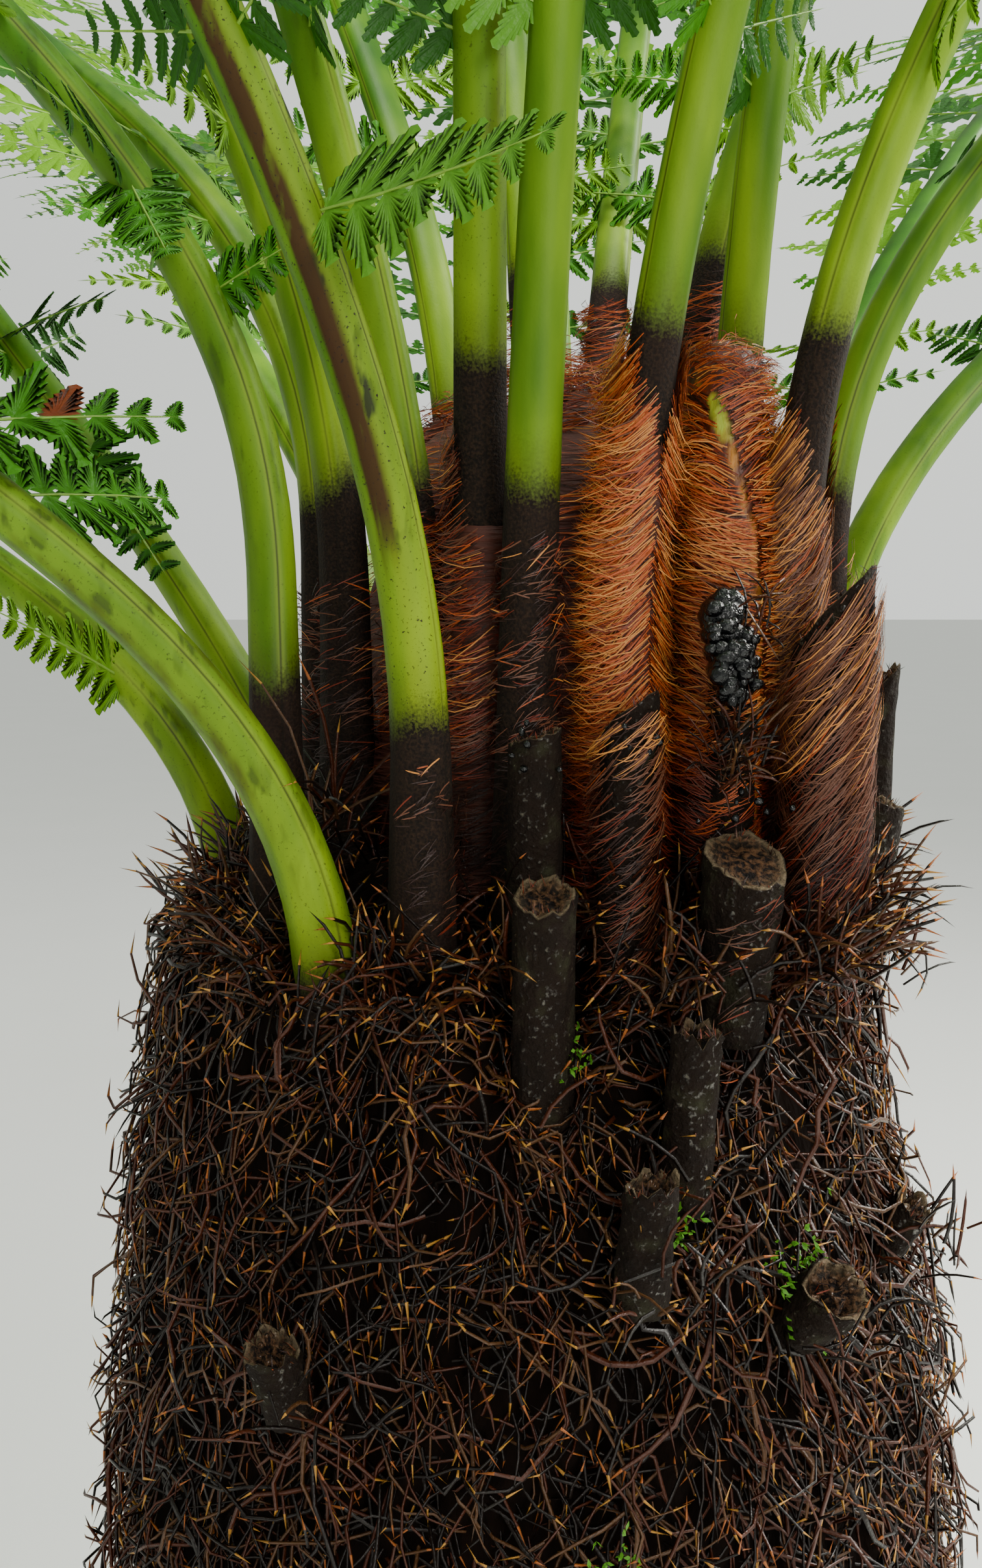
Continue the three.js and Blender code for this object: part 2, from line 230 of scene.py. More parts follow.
class Finish:
    """A material, or a sky, that is built one node at a time."""

    def __init__(self, name, kind="materials"):
        self.owner = getattr(bpy.data, kind).new(name)
        self.owner.use_nodes = True
        self.tree = self.owner.node_tree
        self.tree.nodes.clear()

    def node(self, kind, settings, sockets, output=0):
        """Adds a node with its settings and its sockets' values or links."""
        node = self.tree.nodes.new("ShaderNode" + kind)
        for name, value in settings.items():
            setattr(node, name, value)
        for name, value in sockets.items():
            if isinstance(value, Wire):
                self.tree.links.new(value.socket, node.inputs[name])
            else:
                node.inputs[name].default_value = value
        return Wire(self, node.outputs[output]) if node.outputs else None

    def math(self, operation, *values):
        return self.node("Math", {"operation": operation}, dict(enumerate(values)))

    def mix(self, share, first, second):
        """A blend from the first colour to the second."""
        return self.node("Mix", {"data_type": "RGBA"}, {0: share, 6: first, 7: second}, output=2)

    def noise(self, scale, detail=3.0, stretch=(1.0, 1.0, 1.0)):
        """Soft noise from 0 to 1 that hangs on the object, stretched along its axes."""
        place = self.node("TexCoord", {}, {}, output=3)
        place = self.node("Mapping", {}, {"Vector": place, "Scale": stretch})
        return self.node("TexNoise", {}, {"Vector": place, "Scale": scale, "Detail": detail})

    def attribute(self, name):
        """A number that the mesh holds at each of its points."""
        return self.node("Attribute", {"attribute_name": name}, {}, output=2)

    def bump(self, height, distance):
        return self.node("Bump", {}, {"Height": height, "Distance": distance})

    def surface(self, shade, roughness, relief, depth, shine=0.5, **more):
        """The usual surface: a colour, a roughness, and a relief of some depth."""
        sockets = {"Base Color": shade, "Roughness": roughness, "Specular IOR Level": shine}
        sockets["Normal"] = self.bump(relief, depth)
        return self.node("BsdfPrincipled", {}, sockets | more)

    def done(self, shader, kind="OutputMaterial"):
        self.node(kind, {}, {"Surface": shader})
        return self.owner


def colour(code):
    """The linear colour that a shader takes, from a hexadecimal colour code."""
    parts = [int(code[start:start + 2], 16) / 255 for start in (0, 2, 4)]
    linear = [p / 12.92 if p <= 0.04045 else ((p + 0.055) / 1.055) ** 2.4 for p in parts]
    return (*linear, 1.0)


print("mid grey as a linear colour:", round(colour("808080")[0], 3))

# %% [markdown]
# The trunk's outline is a rule, the same one that the solid model turns on a lathe: a flare at
# the ground, a slow taper, and a shoulder under a low dome. From the rule come three numbers
# for every step of the way up its side: the radius, the height, and which way is out. Anything
# that grows on the trunk can then be placed by an angle, a way up and a height off its surface.

# %% The trunk's outline
TRUNK_TOP = 1.0
TRUNK_RADIUS = 0.166
TAPER = 0.008
FLARE = 0.026
FLARE_FADE = 0.09
SHOULDER_START = 0.7
SHOULDER_HEIGHT = 0.95
SHOULDER_RADIUS = 0.136
SHOULDER_POWER = 1.7
DOME_POWER = 2.5
LOBES = [(3, 0.018, 0.6, 0.0), (5, 0.011, 1.9, 6.25)]  # count, depth, phase, twist
OUTLINE_STEP = 0.005
DOME_STEPS = 40
DOME_EYE = 0.03  # where the steps over the dome end, as a share of the shoulder's radius


def trunk_radius(height):
    flare = FLARE * np.exp(-height / FLARE_FADE)
    body = TRUNK_RADIUS - TAPER * height
    rise = np.maximum(0.0, height - SHOULDER_START) / (SHOULDER_HEIGHT - SHOULDER_START)
    at_shoulder = TRUNK_RADIUS - TAPER * SHOULDER_HEIGHT
    return body + flare - (at_shoulder - SHOULDER_RADIUS) * rise ** SHOULDER_POWER


def dome_height(radius):
    return TRUNK_TOP - (TRUNK_TOP - SHOULDER_HEIGHT) * (radius / SHOULDER_RADIUS) ** DOME_POWER


side_heights = np.arange(0.0, SHOULDER_HEIGHT, OUTLINE_STEP)
dome_radii = SHOULDER_RADIUS * np.linspace(1.0, DOME_EYE, DOME_STEPS)
OUT_RADIUS = np.concatenate([trunk_radius(side_heights), dome_radii])
OUT_HEIGHT = np.concatenate([side_heights, dome_height(dome_radii)])
outline_steps = np.hypot(np.diff(OUT_RADIUS), np.diff(OUT_HEIGHT))
WAY = np.concatenate([[0.0], np.cumsum(outline_steps)])
OUT_FLAT = np.gradient(OUT_HEIGHT, WAY)
OUT_UP = -np.gradient(OUT_RADIUS, WAY)
print(f"the way from the ground over the shoulder to the top: {WAY[-1]:.3f} m")

# %% [markdown]
# Where an old frond's stub shows as a bare column, the coat of roots has sunk in round it, and
# the shoulder on the right is worn. A few soft hollows in the outline make room for both.

# %% Points on the trunk
HOLLOWS = [  # azimuth, height of the middle, half width, half height, depth
    (1, 0.96, 0.024, 0.045, 0.016),
    (28, 0.975, 0.02, 0.025, 0.008),
    (84, 0.95, 0.12, 0.075, 0.014),
    (88, 0.86, 0.12, 0.07, 0.01),
]


def hollow_depth(angle, height, radius):
    """How far the coat of roots sinks in at a place on the trunk."""
    depth = 0.0
    for azimuth, middle, half_width, half_height, deepest in HOLLOWS:
        off = angle - math.radians(azimuth - 90)
        aside = np.arctan2(np.sin(off), np.cos(off)) * radius / half_width
        above = (height - middle) / half_height
        depth = depth + deepest * np.exp(-aside ** 2 - above ** 2)
    return depth


def on_trunk(angle, way, off):
    """Points at an angle from +X, a way up the trunk's side and a height off its surface."""
    radius = np.interp(way, WAY, OUT_RADIUS)
    height = np.interp(way, WAY, OUT_HEIGHT)
    lobe = 1.0
    for count, depth, phase, twist in LOBES:
        lobe = lobe + depth * np.cos(count * angle + phase + twist * height)
    off = off - hollow_depth(angle, height, radius)
    flat = radius * lobe + off * np.interp(way, WAY, OUT_FLAT)
    height = height + off * np.interp(way, WAY, OUT_UP)
    return np.stack([flat * np.cos(angle), flat * np.sin(angle), height], axis=-1)


def way_at(height):
    """The way up the trunk's side to a height below its shoulder."""
    return float(np.interp(height, OUT_HEIGHT, WAY))


print("the trunk's front at 0.8 m:", on_trunk(-math.pi / 2, way_at(0.8), 0.0).round(3))

# %% [markdown]
# Behind the outer roots a person sees more roots, packed close and deep in shade, and that shade
# is painted into them as an almost black colour. That is one mesh: a grid wrapped round the
# outline a little below its surface, raised into slanting cords. Ridges come from waves whose
# number round the trunk is whole, so that the grid closes without a seam.

# %% The roots packed inside the coat
CORE_DEPTH = 0.013
CORE_AROUND = 140
CORE_UP = 104
CORD_WAVES = 26
CORDS_ROUND = (7, 46)  # fewest and most cords that one wave lays round the trunk
CORD_SLANT = 150.0  # most radians that a wave turns in a metre of height
CORD_HEIGHT = 0.0013
MEAN_OF_SINE = 0.64  # of its size without its sign


def cords(angle, way, chance):
    """Slanting ridges: sharp on top, soft in the grooves."""
    height = 0.0
    for _ in range(CORD_WAVES):
        around = int(chance.integers(*CORDS_ROUND))
        upwards = chance.uniform(-CORD_SLANT, CORD_SLANT)
        phase = chance.uniform(0, FULL_TURN)
        height = height + (MEAN_OF_SINE - np.abs(np.sin(around * angle + upwards * way + phase)))
    return CORD_HEIGHT * height


def packed_core():
    angle, way = np.meshgrid(
        np.linspace(0.0, FULL_TURN, CORE_AROUND, endpoint=False),
        np.linspace(0.0, WAY[-1], CORE_UP),
    )
    relief = cords(angle, way, dice("core"))
    points = on_trunk(angle, way, relief - CORE_DEPTH)
    points[0, :, 2] = 0.0
    points[:, :, 2] = np.maximum(points[:, :, 2], 0.0)
    return capped(points, top=[0.0, 0.0, points[-1, :, 2].mean()], foot=[0.0, 0.0, 0.0])


def shaded_core_finish():
    finish = Finish("packed roots in painted shade")
    fibres = finish.noise(170.0, detail=4.0, stretch=(1.0, 1.0, 0.3))
    # Painted shade: the gaps deep between the packed roots, in near-black colours.
    shade = finish.mix(fibres, colour("040201"), colour("150a05"))
    return finish.done(finish.surface(shade, 1.0, fibres, 0.003, shine=0.1))


add_piece("packed_roots", *packed_core(), shaded_core_finish(), "root_mantle", ["trunk"])

# %% [markdown]
# The fronds stand where the solid model has them. Each row says where a stalk's foot is, how
# high its column rises before it bends, which way it heads and how far it spreads. The last two
# numbers are for the looks: the height at which the stalk turns green, and how brown it has got.

# %% The fronds' rows
FROND_ROWS = [  # azimuth, ring radius, release, bearing, spread, where green starts, browning
    (-27, 0.112, 0.035, -50, 27, 0.055, 1.0),
    (-13, 0.085, 0.0, 20, 6, 0.11, 0.0),
    (-28, 0.071, 0.0, 0, 10, 0.143, 0.55),
    (8, 0.084, 0.05, 55, 12, 0.16, 0.1),
    (43, 0.095, 0.09, 80, 24, 0.161, 0.15),
    (98, 0.093, 0.09, 100, 43, 0.12, 0.1),
    (130, 0.055, 0.09, 120, 20, 0.19, 0.1),
    (170, 0.048, 0.005, 170, 35, 0.205, 0.1),
    (165, 0.08, -0.035, 145, 13, 0.195, 0.1),
    (-69, 0.085, 0.075, -115, 26, 0.11, 0.2),
    (-57, 0.118, 0.1, -88, 43, 0.073, 0.4),
    (-39, 0.128, -0.03, -70, 55, -0.012, 0.65),
    (-100, 0.13, -0.035, -92, 60, -0.01, 0.5),
    (-118, 0.115, -0.1, -112, 38, 0.04, 0.4),
    (-104, 0.095, 0.1, -125, 53, 0.11, 0.3),
    (-143, 0.07, 0.085, -150, 32, 0.14, 0.1),
    (-48, 0.07, 0.025, -75, 13, 0.11, 0.2),
    (150, 0.118, -0.02, 148, 50, 0.05, 0.4),
    (-165, 0.122, -0.02, -163, 56, 0.03, 0.5),
    (180, 0.106, 0.01, 180, 42, 0.07, 0.3),
    (118, 0.112, 0.02, 126, 56, 0.06, 0.4),
    (-141, 0.112, 0.0, -138, 46, 0.06, 0.4),
    (-172, 0.072, 0.02, -170, 16, 0.2, 0.2),
    (95, 0.055, 0.04, 40, 4, 0.15, 0.1),
]
print("fronds:", len(FROND_ROWS))

# %% [markdown]
# A stalk rises as a column, bends outwards over a hand's breadth, and then arches over more and
# more. Its line is walked out from the foot in short steps, always in one upright plane, so that
# nothing but its lean has to be worked out.

# %% The lines of the stalks
HEART_X = 0.017
FROND_LENGTH = 1.75
TIP_LEAN = 105.0
ARCH_POWER = 1.6
BEND_LENGTH = 0.11
BEND_POWER = 1.5
STALK_SINK = 0.07
PATH_STEP = 0.01


def lean_at(distance, release, spread):
    """How far a stalk leans from upright, in radians, at a distance from its foot."""
    past = np.maximum(0.0, distance - release) / BEND_LENGTH
    bend = spread * (1 - np.exp(-past ** BEND_POWER))
    arch = (TIP_LEAN - spread) * (np.maximum(0.0, distance) / FROND_LENGTH) ** ARCH_POWER
    return np.radians(bend + arch)


class StalkLine:
    """A stalk's line, with the directions along it, to its side and out of its upper side."""

    def __init__(self, azimuth, ring, release, bearing, spread):
        heading = math.radians(bearing)
        self.outward = np.array([math.sin(heading), -math.cos(heading), 0.0])
        self.side = np.array([math.cos(heading), math.sin(heading), 0.0])
        self.release = release
        self.spread = spread
        steps = int(round(FROND_LENGTH / PATH_STEP))
        middles = (np.arange(steps) + 0.5) * PATH_STEP
        foot = polar(azimuth, ring, dome_height(ring), HEART_X)
        walked = np.cumsum(self.along(middles) * PATH_STEP, axis=0)
        below = foot - self.along(np.zeros(1)) * STALK_SINK
        self.points = np.concatenate([below, foot[None], foot + walked])
        self.marks = np.concatenate([[-STALK_SINK], np.arange(steps + 1) * PATH_STEP])

    def along(self, distance):
        lean = lean_at(np.asarray(distance), self.release, self.spread)[..., None]
        return self.outward * np.sin(lean) + np.array([0.0, 0.0, 1.0]) * np.cos(lean)

    def upper(self, distance):
        return -np.cross(self.side, self.along(distance))

    def at(self, distance):
        axes = [np.interp(distance, self.marks, self.points[:, axis]) for axis in range(3)]
        return np.stack(axes, axis=-1)


LINES = [StalkLine(*row[:5]) for row in FROND_ROWS]
FROND_NODES = [[f"frond_{n + 1:02d}_base", f"frond_{n + 1:02d}_tip"] for n in range(len(LINES))]
print("highest point of the first stalk:", LINES[0].points[:, 2].max().round(3))

# %% [markdown]
# Stubs are what is left of fronds that were cut or broke off years ago. Their rows come from
# the solid model too. Each is an axis, a radius that tapers along it, and a slanting cut.

# %% The stubs' rows
STUB_ROWS = [  # azimuth, ring, top, foot radius, top radius, length, lean, slant, bare length
    (0, 0.106, 1.025, 0.0085, 0.0075, 0.09, 3, 0.1, 0.06),
    (1, 0.127, 0.981, 0.0096, 0.0092, 0.11, 3, -0.25, 0.062),
    (15, 0.11, 1.032, 0.009, 0.0085, 0.11, 4, 0.7, 0.06),
    (34, 0.109, 1.04, 0.008, 0.0075, 0.12, 2, 0.2, 0.07),
    (28, 0.132, 0.99, 0.0098, 0.0122, 0.1, 6, -0.42, 0.034),
    (43.5, 0.131, 1.062, 0.0115, 0.012, 0.12, 1, 1.1, 0.09),
    (90, 0.127, 1.034, 0.008, 0.008, 0.12, 1, 0.6, 0.07),
    (72, 0.124, 0.996, 0.01, 0.0105, 0.09, 8, -0.1, 0.04),
    (128, 0.133, 1.0, 0.009, 0.009, 0.09, 5, 0.4, 0.04),
    (-160, 0.136, 0.985, 0.009, 0.0095, 0.08, 6, -0.2, 0.03),
]
OLD_STUB_ROWS = [
    (19, 0.142, 0.943, 0.008, 0.0075, 0.06, 8, 0.3, 0.034),
    (12, 0.154, 0.904, 0.008, 0.0075, 0.055, 14, 0.1, 0.02),
    (35, 0.158, 0.862, 0.01, 0.01, 0.04, 45, 0.0, 0.004),
    (62, 0.146, 0.863, 0.007, 0.007, 0.04, 30, 0.0, 0.003),
    (-29, 0.16, 0.849, 0.008, 0.008, 0.05, 22, 0.0, 0.004),
    (120, 0.144, 0.935, 0.009, 0.008, 0.06, 12, 0.3, 0.02),
    (160, 0.15, 0.905, 0.009, 0.009, 0.055, 16, -0.2, 0.015),
    (-178, 0.146, 0.93, 0.009, 0.008, 0.06, 12, 0.2, 0.02),
    (-128, 0.158, 0.88, 0.009, 0.008, 0.05, 20, 0.2, 0.01),
    (145, 0.162, 0.79, 0.009, 0.009, 0.04, 35, 0.0, 0.004),
]


def stub_frame(row):
    """A stub's top centre, and the directions outwards, sideways and up along it."""
    azimuth, ring, top, _, _, _, lean, _, _ = row
    turn = math.radians(azimuth)
    tilt = math.radians(lean)
    flat = np.array([math.sin(turn), -math.cos(turn), 0.0])
    up = np.array([0.0, 0.0, 1.0])
    shaft = flat * math.sin(tilt) + up * math.cos(tilt)
    outward = flat * math.cos(tilt) - up * math.sin(tilt)
    sideways = np.array([math.cos(turn), math.sin(turn), 0.0])
    return polar(azimuth, ring, top), outward, sideways, shaft


print("stubs:", len(STUB_ROWS), "free of the trunk and", len(OLD_STUB_ROWS), "grown into it")

# %% [markdown]
# Now the roots themselves. A root starts under the surface, comes out and creeps over the
# trunk, turning as it goes. Hair particles could do this, but they can't be joined into a mesh
# with a pale growing tip, and a rule of a few lines can. It works in the trunk's own terms, a
# way round, a way up and a height off the surface, so that no root ever leaves the trunk.

# %% A root that creeps over the trunk
ROOT_SHARES = np.array([0.28, 0.27, 0.26, 0.19])  # of a root's length, segment by segment
HEADING_SPREAD = 1.15  # from straight down, in radians like all the angles of a root
TURNING_SPREAD = 1.2
WANDER = 0.28
LIFTS = (0.05, 0.7)
END_LIFT_SPREAD = 0.3
BRISTLE_LIFT = 0.4
BRISTLE_END_LIFT = 0.45
BRISTLE_HEIGHT = 0.007
START_DEPTHS = (-0.02, -0.007)
ROUND_MARGIN = 0.02  # added to the radius that a step round the trunk is measured at
END_MARGIN = 0.004  # of the trunk's two ends, which no root gets over


def creeping_roots(
    chance, count, low, high, shortest, longest, facing=-90.0, half_turn=180.0,
    shares=ROOT_SHARES, highest=0.0, bristling=0.2,
):
    """Paths of roots that start between two ways up the trunk, on the side facing an angle."""
    angle = np.radians(facing + chance.uniform(-half_turn, half_turn, count))
    way = chance.uniform(low, high, count)
    length = chance.uniform(shortest, longest, count)
    heading = chance.normal(0.0, HEADING_SPREAD, count)
    turning = chance.normal(0.0, TURNING_SPREAD, count)
    lift = chance.uniform(*LIFTS, count)
    end_lift = chance.normal(0.0, END_LIFT_SPREAD, count)
    bristles = chance.random(count) < bristling
    lift = np.where(bristles, lift + BRISTLE_LIFT, lift)
    end_lift = np.where(bristles, end_lift + BRISTLE_END_LIFT, end_lift)
    highest = np.where(bristles, highest + BRISTLE_HEIGHT, highest)
    off = chance.uniform(*START_DEPTHS, count)
    radius = np.interp(way, WAY, OUT_RADIUS) + ROUND_MARGIN
    paths = [on_trunk(angle, way, off)]
    done = 0.0
    for share in shares:
        step = share * length
        bearing = heading + turning * done + chance.normal(0.0, WANDER, count)
        slope = lift + (end_lift - lift) * done
        angle = angle + step * np.cos(slope) * np.sin(bearing) / radius
        way = way - step * np.cos(slope) * np.cos(bearing)
        off = np.minimum(off + step * np.sin(slope), highest)
        done += share
        paths.append(on_trunk(angle, np.clip(way, END_MARGIN, WAY[-1] - END_MARGIN), off))
    return np.stack(paths, axis=1)


one_root = creeping_roots(dice("one root"), 1, 0.5, 0.6, 0.03, 0.04)[0]
print("the points of one root, in millimetres:", (1000 * one_root).round().tolist())

# %% [markdown]
# Roots don't grow through a stub or a stalk, so those that would are left out. The foot of a
# stub is different, because roots climb over it: there they are pushed out until they lie on it.
# Stubs and stalks count as plain posts, each given by its two ends and a radius.

# %% Roots beside stubs and stalks
STUB_COVERED = 0.3  # share of a stub's bare length that roots climb over
OLD_STUB_COVERED = 0.8
CLIMBED_FROM = -0.9  # where that stretch starts, in bare lengths
STALK_POST = (-0.02, 0.08)  # the stretch of a stalk that is in the roots' way
STALK_POST_RADIUS = 0.0105


def clear_of(paths, posts, gap):
    """Which paths stay clear of every post, given as two ends and a radius."""
    clear = np.ones(len(paths), dtype=bool)
    for foot, top, radius in posts:
        axis = top - foot
        share = ((paths - foot) @ axis) / (axis @ axis)
        away = np.linalg.norm(paths - foot - share[..., None] * axis, axis=-1)
        beside = (share > 0.0) & (share < 1.0 + 0.5 * radius / np.linalg.norm(axis))
        clear &= ~(beside & (away < radius + gap)).any(axis=1)
    return clear


def laid_over(paths, posts, gap):
    """Paths that ran into a post, pushed out to lie on it."""
    for foot, top, radius in posts:
        axis = top - foot
        share = np.clip(((paths - foot) @ axis) / (axis @ axis), 0.0, 1.0)
        away = paths - foot - share[..., None] * axis
        distance = np.linalg.norm(away, axis=-1)
        push = np.maximum(0.0, radius + gap - distance)
        paths = paths + unit(away) * push[..., None]
    return paths


def stub_post(row, low, high):
    """A part of a stub's bare length, as its two ends and its radius."""
    top, _, _, shaft = stub_frame(row)
    return top - shaft * row[8] * (1 - low), top - shaft * row[8] * (1 - high), max(row[3], row[4])


ALL_STUB_ROWS = STUB_ROWS + OLD_STUB_ROWS
COVERED = [STUB_COVERED] * len(STUB_ROWS) + [OLD_STUB_COVERED] * len(OLD_STUB_ROWS)
STUB_POSTS = [stub_post(row, 0.0, 1.0) for row in ALL_STUB_ROWS]
POSTS = [stub_post(row, low, 1.0) for row, low in zip(ALL_STUB_ROWS, COVERED)]
CLIMBED = [stub_post(row, CLIMBED_FROM, high) for row, high in zip(ALL_STUB_ROWS, COVERED)]
for line in LINES:
    post_foot = line.at(0.0) + STALK_POST[0] * line.along(0.0)
    POSTS.append((post_foot, line.at(STALK_POST[1]), STALK_POST_RADIUS))
print("posts that roots keep clear of:", len(POSTS), "and posts that they climb:", len(CLIMBED))

# %% [markdown]
# The upper trunk is seen from close by, so most of the roots are there: short ones, more of them
# in front than at the back, and some long ones that lie on top of the rest. Further down a few
# thousand longer and thicker roots cover the trunk to the ground.

# %% All the creeping roots
LONG_SHARES = np.array([0.17, 0.16, 0.15, 0.15, 0.14, 0.13, 0.1])
UPPER_TRUNK = 0.64  # height at which the upper trunk starts
CROWN_WAY = 0.1  # the last of the way up, which the stalks' feet take

upper_band = (way_at(UPPER_TRUNK), WAY[-1] - CROWN_WAY)
front_half = 105.0  # degrees to each side of the front, which is seen from close by
seen_roots = np.concatenate([
    creeping_roots(dice("front roots"), 8300, *upper_band, 0.014, 0.046, -90.0, front_half),
    creeping_roots(dice("back roots"), 2500, *upper_band, 0.02, 0.055, 90.0, 180.0 - front_half),
])
seen_roots = laid_over(seen_roots, CLIMBED, 0.0012)
seen_roots = seen_roots[clear_of(seen_roots, POSTS, 0.0004)]
long_roots = creeping_roots(dice("long roots"), 560, *upper_band, 0.045, 0.085, shares=LONG_SHARES,
                            highest=0.001, bristling=0.0)
long_roots = laid_over(long_roots, CLIMBED, 0.0022)
long_roots = long_roots[clear_of(long_roots, POSTS, 0.0006)]
low_roots = creeping_roots(dice("lower roots"), 4500, 0.0, way_at(UPPER_TRUNK), 0.04, 0.08)
print("creeping roots:", len(seen_roots), "short,", len(long_roots), "long and", len(low_roots), "low")

# %% [markdown]
# At the top of the trunk the roots stand up between the stalks and hide their feet, and at the
# left and the right they have heaped up into mounds. These roots are walked in free space: each
# starts beside a foot or in a mound, heads up and outwards, and drifts. Two dark nests of
# them, under and over the dried resin, have hardly any pale tips.

# %% Roots that stand round the feet of the stalks
STANDING_EACH = 84
STANDING_STUB = 30
HEADING_OUT = 0.3
HEADING_UP = 0.8
HEADING_SCATTER = 0.42
DRIFT_OUT = 0.2
DRIFT_DOWN = 0.4
DRIFT_SCATTER = 0.8
FOOT_RADIUS = 0.012
IN_THE_HEART = 0.083  # stalks nearer to the middle than this stand in hair
MOUNDS = [  # azimuth, ring, height, roots
    (-128, 0.1, 0.965, 90), (-112, 0.1, 0.967, 120), (-97, 0.101, 0.969, 140), (-82, 0.103, 0.969, 140),
    (-66, 0.106, 0.967, 120), (-50, 0.112, 0.964, 90), (-36, 0.114, 0.962, 90), (-20, 0.118, 0.958, 80),
    (-6, 0.116, 0.96, 50), (22, 0.128, 0.96, 50), (37, 0.137, 0.968, 110), (47, 0.134, 0.972, 120),
    (57, 0.115, 0.972, 70), (70, 0.103, 0.968, 50), (105, 0.104, 0.965, 60), (160, 0.104, 0.965, 60),
    (-160, 0.104, 0.965, 60),
]


def standing_roots(chance, feet, each, reach, longest):
    """Paths of short roots that rise round each foot, given as its point and its radius."""
    paths = []
    for (foot, radius), count in zip(feet, each):
        around = chance.uniform(0.0, FULL_TURN, count)
        away = radius + chance.uniform(0.001, reach, count)
        length = chance.uniform(0.012, longest, count)
        start = foot + np.stack([away * np.cos(around), away * np.sin(around), around * 0], -1)
        start[:, 2] += chance.uniform(-0.016, 0.0, count) - 0.25 * away
        outward = unit(start * [1.0, 1.0, 0.0])
        scatter = chance.normal(0.0, HEADING_SCATTER, (count, 3))
        heading = unit(outward * HEADING_OUT + [0.0, 0.0, HEADING_UP] + scatter)
        scatter = chance.normal(0.0, DRIFT_SCATTER, (count, 3))
        drift = outward * DRIFT_OUT + scatter - [0.0, 0.0, DRIFT_DOWN]
        walk = [start]
        for share in ROOT_SHARES:
            heading = unit(heading + drift * share)
            walk.append(walk[-1] + heading * (share * length)[:, None])
        paths.append(np.stack(walk, axis=1))
    return np.concatenate(paths)


outer_lines = [line for line, row in zip(LINES, FROND_ROWS) if row[1] > IN_THE_HEART]
stalk_feet = [(line.at(0.0), FOOT_RADIUS) for line in outer_lines]
stalk_roots = [STANDING_EACH] * len(stalk_feet)
stub_feet = [(foot, radius) for foot, _, radius in STUB_POSTS]
mound_feet = [(polar(azimuth, ring, height), 0.0) for azimuth, ring, height, _ in MOUNDS]
mound_roots = [row[3] for row in MOUNDS]
standing = np.concatenate([
    standing_roots(dice("roots at stalks"), stalk_feet, stalk_roots, 0.017, 0.034),
    standing_roots(dice("roots at stubs"), stub_feet, [STANDING_STUB] * len(stub_feet), 0.014, 0.03),
    standing_roots(dice("roots in mounds"), mound_feet, mound_roots, 0.017, 0.036),
    standing_roots(dice("curly roots"), [(polar(-46, 0.09, 1.0), 0.0)], [44], 0.016, 0.064),
])
standing = standing[clear_of(standing, POSTS, 0.0002)]
nest_feet = [(polar(29, 0.121, 1.027), 0.0), (polar(33, 0.12, 1.07), 0.0)]
nests = standing_roots(dice("dark nests"), nest_feet, [80, 16], 0.01, 0.022)
nests = nests[clear_of(nests, POSTS, 0.0002)]
print("standing roots:", len(standing), "and in two dark nests:", len(nests))

# %% [markdown]
# A living root is dark brown with a pale ochre tip that is only days old. One colour image
# would smear over this many tubes, so the tubes are dealt out to a few pieces instead, each with
# one plain tint: three for the shafts, and two for the last segment of most of them.

# %% Roots dealt out by tint
SHAFT_TINTS = [("black_brown", "110602"), ("red_brown", "401a06"), ("umber", "4c3018")]
SHAFT_ODDS = [0.42, 0.38, 0.2]
TIP_TINTS = [("ochre", "a8762a"), ("amber", "94501a")]
TIP_ODDS = [0.52, 0.48]
SHAFT_ROUGHNESS = 0.4
TIP_ROUGHNESS = 0.45
ROOT_SIDES = 3
ABOVE_GROUND = 0.0005  # how high over the ground the lowest point of a root may be


def root_finish(name, code, roughness):
    finish = Finish(name)
    bark = finish.noise(900.0, detail=2.0)
    return finish.done(finish.surface(colour(code), roughness, bark, 0.0004, shine=0.38))


def tint_labels(chance, shape, tip_share):
    """A tint for each segment of each root: its shaft's, or for most tips one of their own."""
    count, segments = shape
    shaft = chance.choice(len(SHAFT_TINTS), count, p=SHAFT_ODDS)
    label = np.repeat(shaft[:, None], segments, axis=1)
    tipped = chance.random(count) < tip_share
    label[tipped, -1] = len(SHAFT_TINTS) + chance.choice(len(TIP_TINTS), tipped.sum(), p=TIP_ODDS)
    return label


def root_radii(chance, paths, thinnest, thickest):
    """A radius for each point of each root, tapering to its tip."""
    count, points = paths.shape[:2]
    taper = np.interp(np.linspace(0.0, 1.0, points), [0.0, 0.5, 0.82, 1.0], [1.0, 0.96, 0.78, 0.0])
    return chance.uniform(thinnest, thickest, count)[:, None] * taper


def deal_roots(name, groups, chance):
    """Builds groups of roots and deals their segments out to one piece for each tint."""
    tints = SHAFT_TINTS + TIP_TINTS
    dealt = [[] for _ in tints]
    for paths, thinnest, thickest, tip_share in groups:
        rings = tube_rings(paths, root_radii(chance, paths, thinnest, thickest), ROOT_SIDES)
        triangles = skin(rings)
        label = tint_labels(chance, triangles.shape[:2], tip_share)
        points = rings.reshape(-1, 3)
        points[:, 2] = np.maximum(points[:, 2], ABOVE_GROUND)
        for tint, parts in enumerate(dealt):
            parts.append(compact(points, without_slivers(triangles[label == tint])))
    for (word, _), finish, parts in zip(tints, ROOT_FINISHES, dealt):
        add_piece(f"{name}_{word}", *joined(parts), finish, "root_mantle", ["trunk"])


